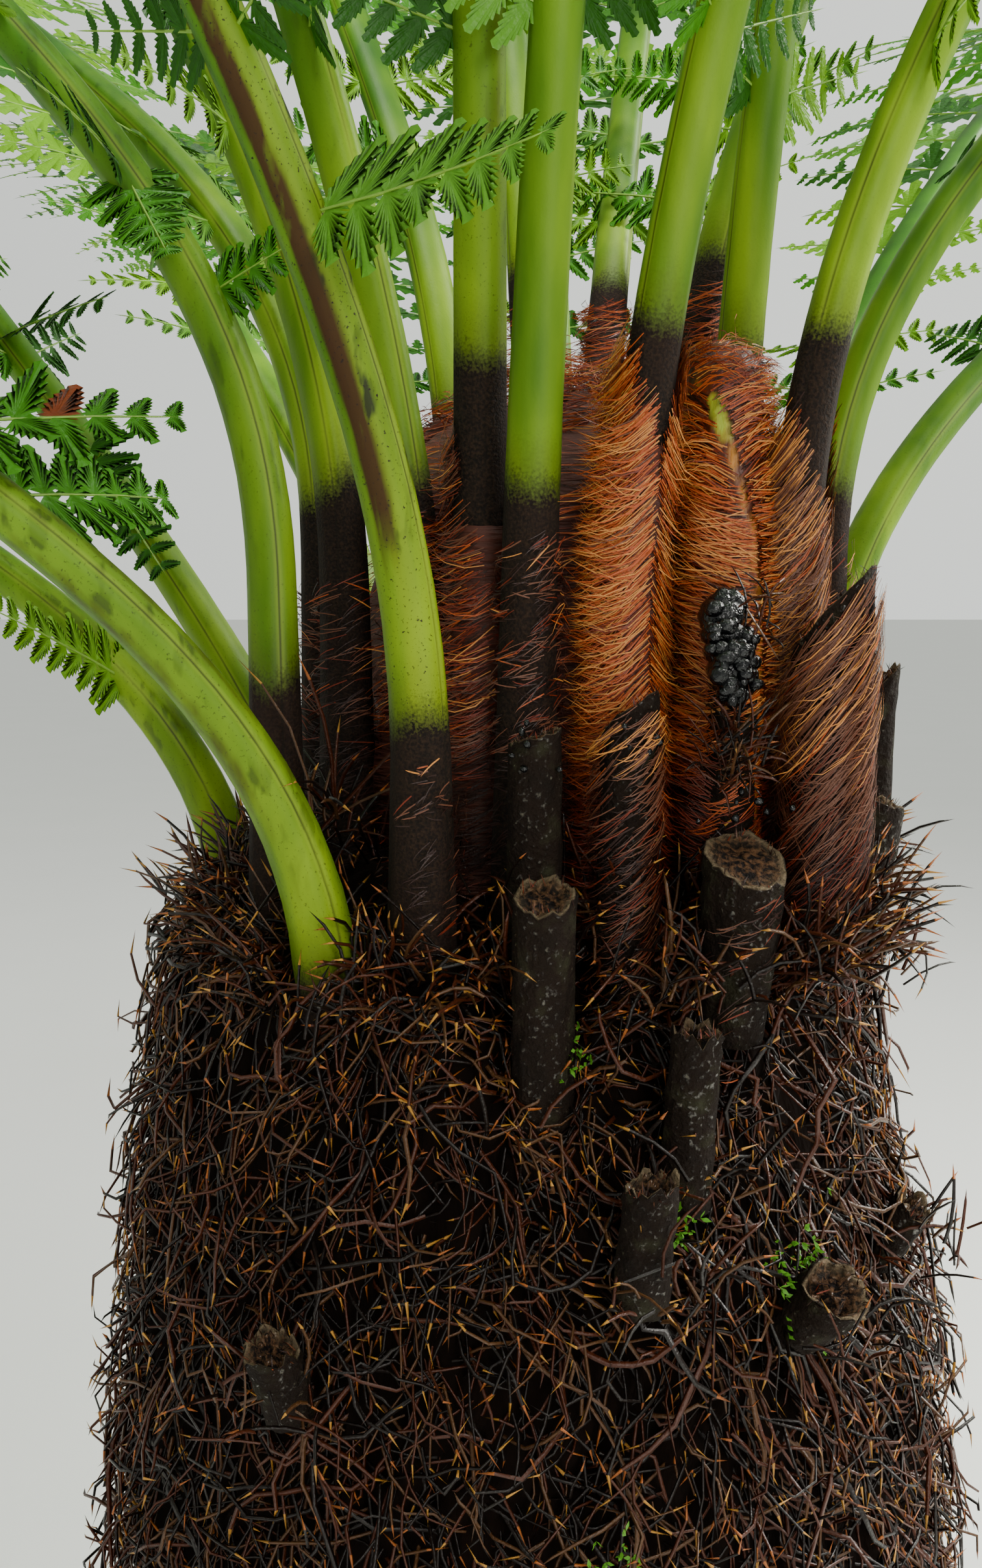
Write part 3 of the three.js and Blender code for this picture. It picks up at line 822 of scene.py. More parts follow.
ROOT_FINISHES = [root_finish("root " + word, code, SHAFT_ROUGHNESS) for word, code in SHAFT_TINTS]
ROOT_FINISHES += [root_finish("root tip " + word, code, TIP_ROUGHNESS) for word, code in TIP_TINTS]
upper_groups = [  # paths, thinnest, thickest, share that have a pale tip
    (np.concatenate([seen_roots, standing]), 0.00042, 0.00078, 0.66),
    (long_roots, 0.0007, 0.00115, 0.85),
    (nests, 0.0003, 0.0006, 0.08),
]
lower_groups = [(low_roots, 0.0008, 0.0013, 0.64)]
deal_roots("upper_roots", upper_groups, dice("upper tints"))
deal_roots("lower_roots", lower_groups, dice("lower tints"))

# %% [markdown]
# A stub is a short post with lumpy bark and a ragged rim round a sunken cut. A grid of rings
# makes it: the first rings climb the bark, the last ones go in over the rim to the pith. A
# number at each point, `cut`, says how much of the bare cut is there and grows with its depth,
# and the material uses it, also to paint shade into the sunken cut.

# %% The rings of a stub
STUB_SIDES = 28
BARK_RINGS = 14
CUT_RINGS = [(0.93, 0.05), (0.8, 0.5), (0.56, 0.9), (0.3, 0.7)]  # shares of radius and of depth
BURIED = 0.022  # how far a stub goes on under the roots
OUT_OF_ROUND = 0.045  # these two as a share of the stub's radius
BARK_RELIEF = 0.035
RIM_CUT = 0.3  # how much of the cut shows on the rim itself


def waves(turn, chance, counts):
    """A torn edge: waves round the rim, smaller as they get more."""
    return sum(np.cos(count * turn + chance.uniform(0, FULL_TURN)) / count ** 0.8 for count in counts)


def stub_grid(row, chance, ragged, depth, aslant):
    """The rings of a stub from its foot to its pith, and how much of each point is cut."""
    _, _, _, foot_radius, top_radius, length, _, slant, bare = row
    length = min(length, bare + BURIED)
    top, outward, sideways, shaft = stub_frame(row)
    turn = np.linspace(0.0, FULL_TURN, STUB_SIDES, endpoint=False)
    torn = 0.6 * waves(turn, chance, (1, 2, 3, 5)) + chance.normal(0.0, 0.55, STUB_SIDES)
    bend = 1 + OUT_OF_ROUND * waves(turn, chance, (2, 3, 4))
    rings = []
    cuts = []
    for ring in range(BARK_RINGS):
        share = math.sin(0.5 * math.pi * ring / (BARK_RINGS - 1))
        radius = foot_radius + (top_radius - foot_radius) * share
        radius = radius * (bend + chance.normal(0.0, BARK_RELIEF, STUB_SIDES))
        height = (share - 1) * length + share ** 6 * ragged * torn
        rings.append((radius, height))
        cuts.append(np.full(STUB_SIDES, 0.0 if ring < BARK_RINGS - 1 else RIM_CUT))
    for width, drop in CUT_RINGS:
        grain = chance.normal(0.0, 0.35 * depth, STUB_SIDES)
        pits = grain + 0.5 * depth * waves(turn, chance, (1, 2, 4))
        sunk = depth * drop + drop * pits
        rings.append((top_radius * width * bend, ragged * torn * width - sunk))
        # Deeper rings hold more of `cut`, which the material paints darker, as painted shade.
        cuts.append(np.full(STUB_SIDES, 0.5 + 0.5 * min(1.0, 1.6 * drop)))
    points = []
    for radius, height in rings:
        x = radius * np.cos(turn)
        y = radius * np.sin(turn)
        lift = height + np.where(height > -0.5 * length, slant * x + aslant * y, 0.0)
        points.append(top + x[:, None] * outward + y[:, None] * sideways + lift[:, None] * shaft)
    return np.stack(points), np.stack(cuts)


print("rings of points in a stub:", BARK_RINGS + len(CUT_RINGS))

# %% [markdown]
# The rings are closed with a fan of triangles at the foot and another at the pith. Old bark is
# almost black, with grey-green patches and wet sparks. The cut is red-brown wood, painted darker
# towards its sunken middle and in near-black pits, as painted shade, and its rim is pale. One
# material does all of it, and picks between them by `cut`.

# %% The skin of a stub
def stub_mesh(row, chance, ragged, depth, aslant):
    rings, cuts = stub_grid(row, chance, ragged, depth, aslant)
    points, triangles = capped(rings, top=rings[-1].mean(axis=0), foot=rings[0].mean(axis=0))
    return points, triangles, np.concatenate([cuts.ravel(), [0.0, 1.0]])


def stub_finish():
    finish = Finish("old stub")
    cut = finish.attribute("cut")
    grains = finish.noise(620.0, detail=4.0)
    patches = finish.noise(110.0)
    bark = finish.mix(patches, colour("080402"), colour("1f1208"))
    bark = finish.mix((patches * 5.0 - 2.7).clamped() * 0.75, bark, colour("2b2c1c"))
    bark = finish.mix((grains * 8.0 - 5.1).clamped() * 0.7, bark, colour("5a5444"))
    rim = finish.mix(grains, colour("2e2116"), colour("7a6a52"))
    # Painted shade: the sunken middle of the cut and its near-black pits, over red-brown wood.
    sunken_wood_and_shade = finish.mix((grains * 4.4 - 1.9).clamped(), colour("080302"), colour("583c26"))
    wood = finish.mix((cut * 2.0 - 1.0).clamped(), rim, sunken_wood_and_shade)
    shade = finish.mix((cut * 3.0 - 0.3).clamped(), bark, wood)
    wet = (grains * 9.0 - 5.2).clamped() * (patches * 3.0 - 0.7).clamped()
    coat = {"Coat Weight": wet, "Coat Roughness": 0.16}
    return finish.done(finish.surface(shade, 0.8, grains, 0.0016, shine=0.15, **coat))


STUB_FINISH = stub_finish()
print("nodes in the stubs' material:", len(STUB_FINISH.node_tree.nodes))

# %% [markdown]
# Most stubs are torn off in the same plain way, and a few that show in front have a rim of their
# own. The old stubs, low on the trunk, are part of its solid, so they replace the trunk.

# %% Stubs of old fronds
PLAIN_SHAPE = (0.0014, 0.0028, 0.0)  # ragged rim, depth of the cut, slant to the side
OLD_SHAPE = (0.0024, 0.005, 0.0)
STUB_SHAPES = {  # by the stub's place in its rows
    0: (0.0008, 0.001, 0.25),
    1: (0.0012, 0.0014, 0.05),
    2: (0.001, 0.002, 0.55),
    4: (0.0009, 0.0012, 0.1),
    5: (0.001, 0.002, 0.5),
}


def add_stub(name, seed, row, shape, node_name):
    points, triangles, cuts = stub_mesh(row, dice(seed), *shape)
    add_piece(name, points, triangles, STUB_FINISH, "old_stub", [node_name], {"cut": cuts})


for number, stub_row in enumerate(STUB_ROWS):
    stub_name = f"stub_{number + 1:02d}"
    shape = STUB_SHAPES.get(number, PLAIN_SHAPE)
    add_stub(f"post_{number + 1:02d}", stub_name, stub_row, shape, stub_name)
for number, stub_row in enumerate(OLD_STUB_ROWS):
    add_stub(f"old_post_{number + 1:02d}", f"old {number}", stub_row, OLD_SHAPE, "trunk")

# %% [markdown]
# A frond's stalk isn't a plain rod. Its outer side is round, its upper side is flattened, and
# down each flank runs a thin line of breathing tissue in a groove. Sixteen points go round it,
# close together at the two lines and further apart elsewhere.

# %% Stalks
STALK_RADIUS = 0.0085
STALK_SWELL = 0.0025
SWELL_FADE = 0.06
STALK_TIP_RADIUS = 0.0022
STALK_TAPER_POWER = 0.8
FLANK = 74.0  # degrees from the middle of the upper side to the line on each flank
FLATTENED = 0.16  # this and the next as a share of the radius
GROOVE_DEPTH = 0.07
STALK_RELIEF = 0.006
CLOSE_STEPS = (-0.03, 0.4, 44)  # along the stalk: from, to and how many, where the eye is close
FAR_STEPS = (0.4, FROND_LENGTH - 0.002, 32)
ROUND_HALF = [0.0, 30.0, 52.0, FLANK - 9, FLANK, FLANK + 9, 105.0, 142.0, 180.0]
ROUND = np.array(ROUND_HALF + [-angle for angle in ROUND_HALF[-2:0:-1]])


def stalk_radius(distance):
    rise = np.maximum(0.0, distance)
    taper = (1 - rise / FROND_LENGTH) ** STALK_TAPER_POWER
    swell = STALK_SWELL * np.exp(-rise / SWELL_FADE)
    return STALK_TIP_RADIUS + (STALK_RADIUS - STALK_TIP_RADIUS) * taper + swell


def stalk_section():
    """How far out each point of the section is, as a share of the radius."""
    off = np.abs(ROUND)
    flattened = FLATTENED * np.exp(-(off / 38) ** 2)
    groove = GROOVE_DEPTH * np.exp(-((off - FLANK) / 5) ** 2)
    return 1 - flattened - groove


def stalk_mesh(line, chance):
    marks = np.concatenate([np.linspace(*CLOSE_STEPS), np.linspace(*FAR_STEPS)[1:]])
    radius = stalk_radius(marks)[:, None] * stalk_section()
    radius = radius * (1 + chance.normal(0.0, STALK_RELIEF, radius.shape))
    turn = np.radians(ROUND)
    across = (radius * np.sin(turn))[..., None] * line.side
    upwards = (radius * np.cos(turn))[..., None] * line.upper(marks)[:, None]
    rings = line.at(marks)[:, None] + across + upwards
    floats = {
        "above": np.append(np.repeat(marks, len(ROUND)), FROND_LENGTH),
        "round": np.append(np.tile(np.abs(ROUND), len(marks)), 0.0),
        "aside": np.append(np.tile(np.sin(turn), len(marks)), 0.0),
    }
    return *capped(rings, top=line.at(FROND_LENGTH)), floats


print("points round a stalk:", len(ROUND))

# %% [markdown]
# A stalk is dark at its foot and green above, and the change is a ragged edge a few millimetres
# wide at a height of its own. So the mesh of each stalk holds, at every point, the distance
# above that change, the angle round the stalk, and which side it is on. From those numbers the
# material draws the edge and the line on each flank. Some stalks have begun to brown: one side of
# them turns yellow and gets a red-brown streak, almost black blots and small spots.

# %% The stalks' material
# How far to one side of the stalk these run, as a share of its radius.
STREAK_MIDDLE = 0.47
YELLOW_MIDDLE = 0.8
BLOT_MIDDLE = 0.85


def stalk_finish():
    finish = Finish("frond stalk")
    above = finish.attribute("above")
    flank = finish.attribute("round")
    browning = finish.attribute("browning")
    coarse = finish.noise(45.0, stretch=(1.0, 1.0, 0.22))
    fine = finish.noise(1100.0, detail=2.0)
    edge = above + (coarse - 0.5) * 0.03 + (fine - 0.5) * 0.014
    green_share = (edge * 95.0).clamped()
    fresh_share = (above * 4.0 + (coarse - 0.5) * 0.8).clamped()
    green = finish.mix(fresh_share, colour("7a9808"), colour("427a0e"))
    green = finish.mix((coarse * 2.4 - 0.85).clamped() * 0.85, green, colour("24500a"))
    green = finish.mix((edge * 42.0).clamped() * 0.7 + 0.3, colour("2c2408"), green)
    aside = finish.attribute("aside")
    risen = (above * 20.0 - 0.4).clamped()
    off_yellow = finish.math("ABSOLUTE", aside - YELLOW_MIDDLE)
    yellow = (1.4 - off_yellow * 3.6).clamped() * (browning * 1.4 - 0.5).clamped()
    green = finish.mix(yellow * 0.5, green, colour("869a0a"))
    strands = finish.noise(240.0, stretch=(1.0, 1.0, 0.1))
    off_streak = finish.math("ABSOLUTE", aside - STREAK_MIDDLE)
    place = (1.9 - off_streak * 4.0).clamped() * risen * browning
    streak = (place * 1.7 + (coarse - 0.5) * 1.7 + (strands - 0.5) * 2.0 - 0.6).clamped() * place
    green = finish.mix(streak.clamped() * 0.95, green, colour("381604"))
    off_blot = finish.math("ABSOLUTE", aside - BLOT_MIDDLE)
    blots = finish.noise(150.0, stretch=(1.0, 1.0, 0.3))
    blot = (blots * 12.0 - 6.5).clamped() * (1.6 - off_blot * 9.0).clamped() * risen * browning
    green = finish.mix(blot.clamped() * 0.9, green, colour("0f0d06"))
    spots = ((fine * 9.0 - 5.6).clamped() * browning).clamped()
    green = finish.mix(spots, green, colour("1f120a"))
    scurf = finish.mix((fine * 2.6 - 1.0).clamped(), colour("0c0603"), colour("2f2014"))
    scurf = finish.mix((coarse * 3.0 - 1.1).clamped() * 0.5, scurf, colour("24130d"))
    shade = finish.mix(green_share, scurf, green)
    away = finish.math("ABSOLUTE", flank - FLANK)
    pale = (1.0 - away * 0.09).clamped() * green_share
    shade = finish.mix(pale * 0.4, shade, colour("9cb036"))
    dark = (1.0 - away * 0.24).clamped() * (coarse * 3.0 - 0.5).clamped()
    shade = finish.mix(dark * 0.85, shade, colour("140f08"))
    roughness = 0.85 - green_share * 0.34
    relief = fine * (1.15 - green_share)
    return finish.done(finish.surface(shade, roughness, relief, 0.0004, shine=0.22))


STALK_FINISH = stalk_finish()
for number, line in enumerate(LINES):
    mesh_points, mesh_triangles, floats = stalk_mesh(line, dice(f"stalk {number}"))
    green_from, browning_share = FROND_ROWS[number][5:]
    floats["above"] = floats["above"] - green_from
    floats["browning"] = np.full(len(mesh_points), browning_share)
    add_piece(f"stalk_{number + 1:02d}", mesh_points, mesh_triangles, STALK_FINISH, "frond",
              FROND_NODES[number], floats)

# %% [markdown]
# A frond is cut twice. Its stalk carries long side ribs in pairs, each side rib carries two
# rows of leaflets, and every leaflet is a narrow, pointed leaf with lobes that lean forward. A
# picture of a leaf on a card would be cheaper still, but a fan of a few triangles in the true
# outline needs no picture: three lobes to a side for most, seven for those seen from close by.

# %% The outline of a leaflet
def leaflet_outline(lobes, fullness):
    """Points and triangles of a lobed, pointed leaflet, one long and about one wide."""
    points = [(0.0, 0.0)]
    triangles = []
    for hand in (1, -1):
        rim = []
        for lobe in range(lobes):
            peak = (lobe + 0.72) / lobes
            notch = (lobe + 1.0) / lobes
            rim.append((peak, 0.5 * (1 - (0.86 * peak) ** 2.4)))
            rim.append((notch, 0.29 * (1 - notch ** 2.2)))
        first = len(points)
        points += [(x, hand * fullness * y) for x, y in rim]
        for step in range(len(rim) - 1):
            triangles.append((0, first + step, first + step + 1)[::-hand])
    return np.array(points), np.array(triangles)


FAR_LEAFLET = leaflet_outline(3, 1.3)
NEAR_LEAFLET = leaflet_outline(7, 1.0)
FORE_LEAFLET = leaflet_outline(7, 1.25)
print("triangles in a leaflet:", len(FAR_LEAFLET[1]), "far and", len(NEAR_LEAFLET[1]), "near")

# %% [markdown]
# The fronds grow by the same rule as in the solid model: side ribs from a fixed distance up
# the stalk, their length from the blade's outline, swept to the tip and drooping. The solid
# model has ten wide leaflets to a side, and here each gives way to several side ribs, so that
# the frond keeps its reach and its outline.

# %% The side ribs of a frond
BLADE_START = 0.22
RIB_SPACING = 0.05
RIB_LENGTH = 0.245
LOWEST_RIB = 0.25
BLADE_SKEW = 0.85
BLADE_FULLNESS = 0.8
RIB_SWEEP = 18.0  # degrees, at the blade's start
TIP_SWEEP = 16.0  # degrees more at its end
RIB_DROOP = 0.12


def blade_outline(share):
    """Share of the full rib length at a share of the way up the blade."""
    body = np.sin(np.pi * share ** (1 / BLADE_SKEW)).clip(0.0, 1.0) ** BLADE_FULLNESS
    return np.maximum(body, LOWEST_RIB * np.sqrt(1 - share))


class SideRib:
    """A side rib of a frond: where it starts, its direction, its upper side and its curve."""

    def __init__(self, root, out, upper, length, droop):
        self.root = root
        self.out = unit(out)
        self.upper = unit(upper - (upper @ self.out) * self.out)
        self.length = float(length)
        self.droop = droop

    def at(self, reach):
        """Points at shares of the way along the rib."""
        reach = np.asarray(reach)[..., None]
        return self.root + self.length * (self.out * reach - self.upper * self.droop * reach ** 2)


def grown_rib(line, distance, hand, chance):
    """A side rib by the frond's rule."""
    share = (distance - BLADE_START) / (FROND_LENGTH - BLADE_START)
    sweep = math.radians(RIB_SWEEP + TIP_SWEEP * share + chance.normal(0.0, 3.0))
    upper = line.upper(distance)
    out = line.side * hand * math.cos(sweep) + line.along(distance) * math.sin(sweep)
    out = unit(out + upper * chance.normal(0.05, 0.07))
    tilted = upper + np.cross(upper, out) * chance.normal(0.0, 0.16)
    length = RIB_LENGTH * blade_outline(share) * chance.uniform(0.92, 1.03)
    return SideRib(line.at(distance), out, tilted, length, RIB_DROOP * chance.uniform(0.6, 1.5))


print("side ribs to a side of a frond:", int((FROND_LENGTH - BLADE_START) / RIB_SPACING))

# %% [markdown]
# Leaflets sit on a side rib in two rows. They get shorter towards its tip, point forward, sag at
# their ends, and fold a little along the middle, each a bit differently, so that the light catches
# them one by one.

# %% The leaflets of a side rib
LEAFLET_LENGTH = 0.031
LEAFLET_SHARE = 0.34  # of the rib's length, the most that a leaflet may have
LEAFLET_SPACING = 0.43
LEAST_SPACING = 0.0068
LEAFLET_ANGLE = math.radians(66)
LEAFLET_SAG = -0.16
LEAFLET_FOLD = -0.25


def leaflets_on(rib, outline, chance, longest, spaced=LEAFLET_SPACING):
    """The points and triangles of both rows of leaflets on a side rib."""
    shape, triangles = outline
    full = min(longest, LEAFLET_SHARE * rib.length)
    spacing = max(LEAST_SPACING, spaced * full)
    reach = np.arange(0.9 * spacing, rib.length, spacing) / rib.length
    size = full * (1 - reach) ** 0.6 * (1 - 0.3 * np.exp(-reach / 0.05))
    points = []
    for hand in (1, -1):
        sideways = np.cross(rib.upper, rib.out) * hand
        heading = rib.out * math.cos(LEAFLET_ANGLE) + sideways * math.sin(LEAFLET_ANGLE)
        heading = heading + rib.upper * chance.normal(0.1, 0.12, (len(reach), 1))
        heading = unit(heading + chance.normal(0.0, 0.06, (len(reach), 3)))
        across = unit(np.cross(rib.upper, heading))
        normal = np.cross(heading, across)
        long = size * chance.uniform(0.9, 1.08, len(reach))
        wide = np.minimum(1.02 * spacing, 0.42 * long + 0.0015)
        x = shape[:, 0] * long[:, None]
        y = shape[:, 1] * wide[:, None]
        sag = LEAFLET_SAG * shape[:, 0] ** 2 * long[:, None] + LEAFLET_FOLD * np.abs(y)
        base = rib.at(reach)[:, None]
        placed = base + x[..., None] * heading[:, None] + y[..., None] * across[:, None]
        points.append(placed + sag[..., None] * normal[:, None])
    points = np.concatenate(points)
    offsets = np.arange(len(points)) * len(shape)
    return points.reshape(-1, 3), (triangles + offsets[:, None, None]).reshape(-1, 3)


sample_rib = grown_rib(LINES[0], 0.6, 1, dice("one rib"))
sample_leaflets = leaflets_on(sample_rib, FAR_LEAFLET, dice("its leaflets"), LEAFLET_LENGTH)
print("leaflets on one side rib:", len(sample_leaflets[1]) // len(FAR_LEAFLET[1]))

# %% [markdown]
# A few side ribs hang in front of the crown, close to the eye, and people would miss them. So
# these are aimed one by one: a row says which stalk and how far up, where the tip is, which
# way the upper side faces, and how long the leaflets are. One of the leaflets has withered.

# %% Side ribs in the foreground
FORE_RIBS = [  # stalk, distance, tip, facing, longest leaflet, droop, tint, withered leaflet
    (1, 0.207, (0.013, -0.178, 1.176), (0.0, -0.9, 0.4), 0.028, -0.1, 3, -1),
    (11, 0.196, (-0.066, -0.086, 1.176), (0.2, -1.0, 0.3), 0.022, 0.1, 1, -1),
    (11, 0.243, (-0.104, -0.096, 1.158), (0.1, -1.0, 0.15), 0.036, -0.15, 1, -1),
    (12, 0.2, (-0.092, -0.12, 1.122), (0.1, -0.6, 0.75), 0.034, 0.08, 1, 3),
    (12, 0.17, (-0.105, -0.075, 1.1), (0.0, -0.9, 0.4), 0.03, 0.1, 1, -1),
    (13, 0.085, (-0.184, -0.036, 1.066), (0.2, -0.9, 0.5), 0.02, 0.1, 2, -1),
    (14, 0.25, (-0.16, 0.07, 1.186), (0.0, -0.6, 0.8), 0.022, 0.06, 0, -1),
    (14, 0.2, (-0.135, 0.03, 1.07), (0.1, -1.0, 0.2), 0.024, 0.1, 0, -1),
]
FORE_SPACING = 0.37  # of the leaflets, as a share of the longest one's length
FORE_REACH = 0.9  # share of a foreground rib that is drawn, up to its last pair of leaflets
RIB_MARKS = np.array([0.0, 0.35, 0.68, 0.93, 1.0])
RIB_TAPER = np.array([1.0, 0.8, 0.6, 0.4, 0.0])


def aimed_rib(line, distance, tip, facing, droop):
    """A side rib that starts on a stalk and ends near a given point."""
    root = line.at(distance)
    span = np.array(tip) - root
    return SideRib(root, span, np.array(facing), np.linalg.norm(span), droop)


print("foreground ribs:", len(FORE_RIBS))

# %% [markdown]
# Against the light some leaves glow yellow and others stay deep green, and that glow is partly
# painted into their colours. Whole side ribs are dealt out to four pieces, each with a plain green
# of its own, and the one withered leaflet is a fifth. The material lets part of the light through,
# as a leaf does.

# %% What leaves are made of
THROUGH_LIGHT = 0.23  # share of the light that a leaf lets through


def leaf_finish(name, code):
    finish = Finish(name)
    veins = finish.noise(420.0, detail=2.0)
    face = finish.surface(colour(code), 0.42, veins, 0.0006, shine=0.3)
    glow = finish.node("BsdfTranslucent", {}, {"Color": colour(code)})
    blend = finish.node("MixShader", {}, {0: THROUGH_LIGHT, 1: face, 2: glow})
    return finish.done(blend)


# The yellow and pale greens stand partly for painted glow of light through the leaves.
LEAF_TINTS = [
    ("deep", "265c08"),
    ("middle", "3e800a"),
    ("yellow", "6fa410"),
    ("pale", "5c9426"),
    ("withered", "7a3410"),
]
LEAF_FINISHES = [leaf_finish("leaf " + word, code) for word, code in LEAF_TINTS]
print("tints of leaves:", [word for word, _ in LEAF_TINTS])

# %% [markdown]
# Now every frond gets its side ribs, and every side rib its leaflets. Each frond starts its ribs
# a little higher or lower than the next. In the foreground the last pair of leaflets on a rib is
# so small that it would seem to float, and is left off.

# %% All the leaves
LEAF_ODDS = [0.27, 0.33, 0.22, 0.18, 0.0]
NEAR_RIBS = 2  # pairs of side ribs on each frond that are seen from close by
FIRST_RIB = 0.35  # this and the next in rib spacings
RIB_SHIFT = 0.3
FIRST_END = 0.012  # how far before a frond's tip the ribs end, without and with their shift
LAST_END = 0.008
RIB_SCATTER = 0.003


def grow_leaves():
    """Every side rib and leaflet, sorted by tint."""
    chance = dice("leaves")
    grown = [[] for _ in LEAF_TINTS]
    ribs = []
    for line in LINES:
        lowest = BLADE_START + FIRST_RIB * RIB_SPACING
        marks = np.arange(lowest, FROND_LENGTH - FIRST_END, RIB_SPACING)
        marks = marks + chance.uniform(0.0, RIB_SHIFT) * RIB_SPACING
        for order, mark in enumerate(marks[marks < FROND_LENGTH - LAST_END]):
            outline = NEAR_LEAFLET if order < NEAR_RIBS else FAR_LEAFLET
            for hand in (-1, 1):
                rib = grown_rib(line, mark + chance.normal(0.0, RIB_SCATTER), hand, chance)
                tint = chance.choice(len(LEAF_TINTS), p=LEAF_ODDS)
                grown[tint].append(leaflets_on(rib, outline, chance, LEAFLET_LENGTH))
                ribs.append(rib.at(RIB_MARKS))
    for number, distance, tip, facing, longest, droop, tint, withered in FORE_RIBS:
        rib = aimed_rib(LINES[number - 1], distance, tip, facing, droop)
        points, triangles = leaflets_on(rib, FORE_LEAFLET, chance, longest, FORE_SPACING)
        leaflet = np.arange(len(triangles)) // len(FORE_LEAFLET[1])
        in_row = (leaflet[-1] + 1) // 2
        short = leaflet % in_row == in_row - 1
        grown[tint].append(compact(points, triangles[(leaflet != withered) & ~short]))
        if withered >= 0:
            grown[-1].append(compact(points, triangles[leaflet == withered]))
        ribs.append(rib.at(FORE_REACH * RIB_MARKS))
    return grown, np.stack(ribs)


ALL_FROND_NODES = [node for pair in FROND_NODES for node in pair]
leaf_parts, rib_paths = grow_leaves()
for (word, _), finish, parts in zip(LEAF_TINTS, LEAF_FINISHES, leaf_parts):
    add_piece(f"leaves_{word}", *joined(parts), finish, "frond", ALL_FROND_NODES)

# %% [markdown]
# The side ribs themselves are thin green rods, thickest where they leave the stalk. The longer
# a rib is, the thicker it has to be.

# %% Side ribs
THINNEST_RIB = 0.0004
RIB_THICKNESS = 0.004  # radius that a rib gains with each metre of its length
RIB_SIDES = 3


def rib_finish():
    finish = Finish("side rib")
    streaks = finish.noise(300.0)
    return finish.done(finish.surface(colour("7fa83a"), 0.45, streaks, 0.0004))


rib_lengths = np.linalg.norm(rib_paths[:, -1] - rib_paths[:, 0], axis=1)
rib_radii = (THINNEST_RIB + RIB_THICKNESS * rib_lengths)[:, None] * RIB_TAPER
rib_rings = tube_rings(rib_paths, rib_radii, RIB_SIDES)
rib_triangles = without_slivers(skin(rib_rings))
add_piece("side_ribs", *compact(rib_rings.reshape(-1, 3), rib_triangles), rib_finish(), "frond",
          ALL_FROND_NODES)

# %% [markdown]
# The heart of the crown is a clutch of young fronds, still coiled, that is only ever seen as
# hair. Under the hair goes a body in dark rust, the hair's own colour darkened as painted shade,
# a little smaller than the solid that it replaces: a cone up to its neck, and a dome on that.

# %% The outline of the heart
HEART_FOOT = 0.94
HEART_FOOT_RADIUS = 0.088
HEART_NECK_RADIUS = 0.076
HEART_NECK_HEIGHT = 1.096
HEART_TOP = 1.146
HEART_INSET = 0.009
HEART_NECK = 0.6  # share of the way up and over the heart that its side takes


def heart_dome(share):
    """The angle over the heart's dome: 0 at its neck, a quarter turn at its top."""
    return np.clip((share - HEART_NECK) / (1 - HEART_NECK), 0.0, 1.0) * math.pi / 2


def heart_profile(share):
    """Radius and height of the heart's surface, from its foot at 0 to its top at 1."""
    side = np.clip(share / HEART_NECK, 0.0, 1.0)
    dome = heart_dome(share)
    radius = HEART_FOOT_RADIUS + (HEART_NECK_RADIUS - HEART_FOOT_RADIUS) * side
    radius = radius * np.cos(dome) - HEART_INSET
    height = HEART_FOOT + (HEART_NECK_HEIGHT - HEART_FOOT) * side
    height = height + (HEART_TOP - HEART_NECK_HEIGHT) * np.sin(dome) - HEART_INSET
    return np.maximum(radius, 0.0), height


print("radius and height of the heart's neck:", [float(value) for value in heart_profile(HEART_NECK)])

# %% [markdown]
# The body itself is that outline turned round, with soft waves, so that the hair on it doesn't lie
# as smooth as on a ball. Its finish, hair matted into felt and darkened as painted shade, is used
# again for the coiled fronds and for the felt on the stalks.

# %% The body of the heart
HEART_RINGS = 40
HEART_SIDES = 72
HEART_WAVES = range(3, 12)
HEART_WAVE_HEIGHT = 0.0011
HEART_TWIST = 22.0


def heart_body():
    chance = dice("heart body")
    share, turn = np.meshgrid(
        np.linspace(0.0, 0.99, HEART_RINGS),
        np.linspace(0.0, FULL_TURN, HEART_SIDES, endpoint=False),
        indexing="ij",
    )
    radius, height = heart_profile(share)
    for wave in HEART_WAVES:
        twist = HEART_TWIST * share * chance.uniform(-1, 1)
        swing = HEART_WAVE_HEIGHT * np.cos(wave * turn + twist)
        radius = radius + swing * np.sin(math.pi * share)
    rings = np.stack([HEART_X + radius * np.cos(turn), radius * np.sin(turn), height], axis=-1)
    return capped(rings, top=rings[-1].mean(axis=0))


def felt_finish(name, dark, light):
    """Matted hair, darkened as painted shade: fine fibres that run round the heart."""
    finish = Finish(name)
    fibres = finish.noise(260.0, detail=5.0, stretch=(0.35, 0.35, 2.6))
    shade = finish.mix(fibres, colour(dark), colour(light))
    return finish.done(finish.surface(shade, 0.7, fibres, 0.002))


SHADED_FELT = felt_finish("matted hair in painted shade", "1c0803", "5c2208")
add_piece("heart_body", *heart_body(), SHADED_FELT, "rusty_hair", ["heart"])

# %% [markdown]
# The stalks, the stubs and the bud of the youngest frond are all nearly upright columns, and
# hair grows on all of them. One small class places a point on such a column by an azimuth, a
# distance along it and a height off its skin. The same class gives the skin itself as a mesh.

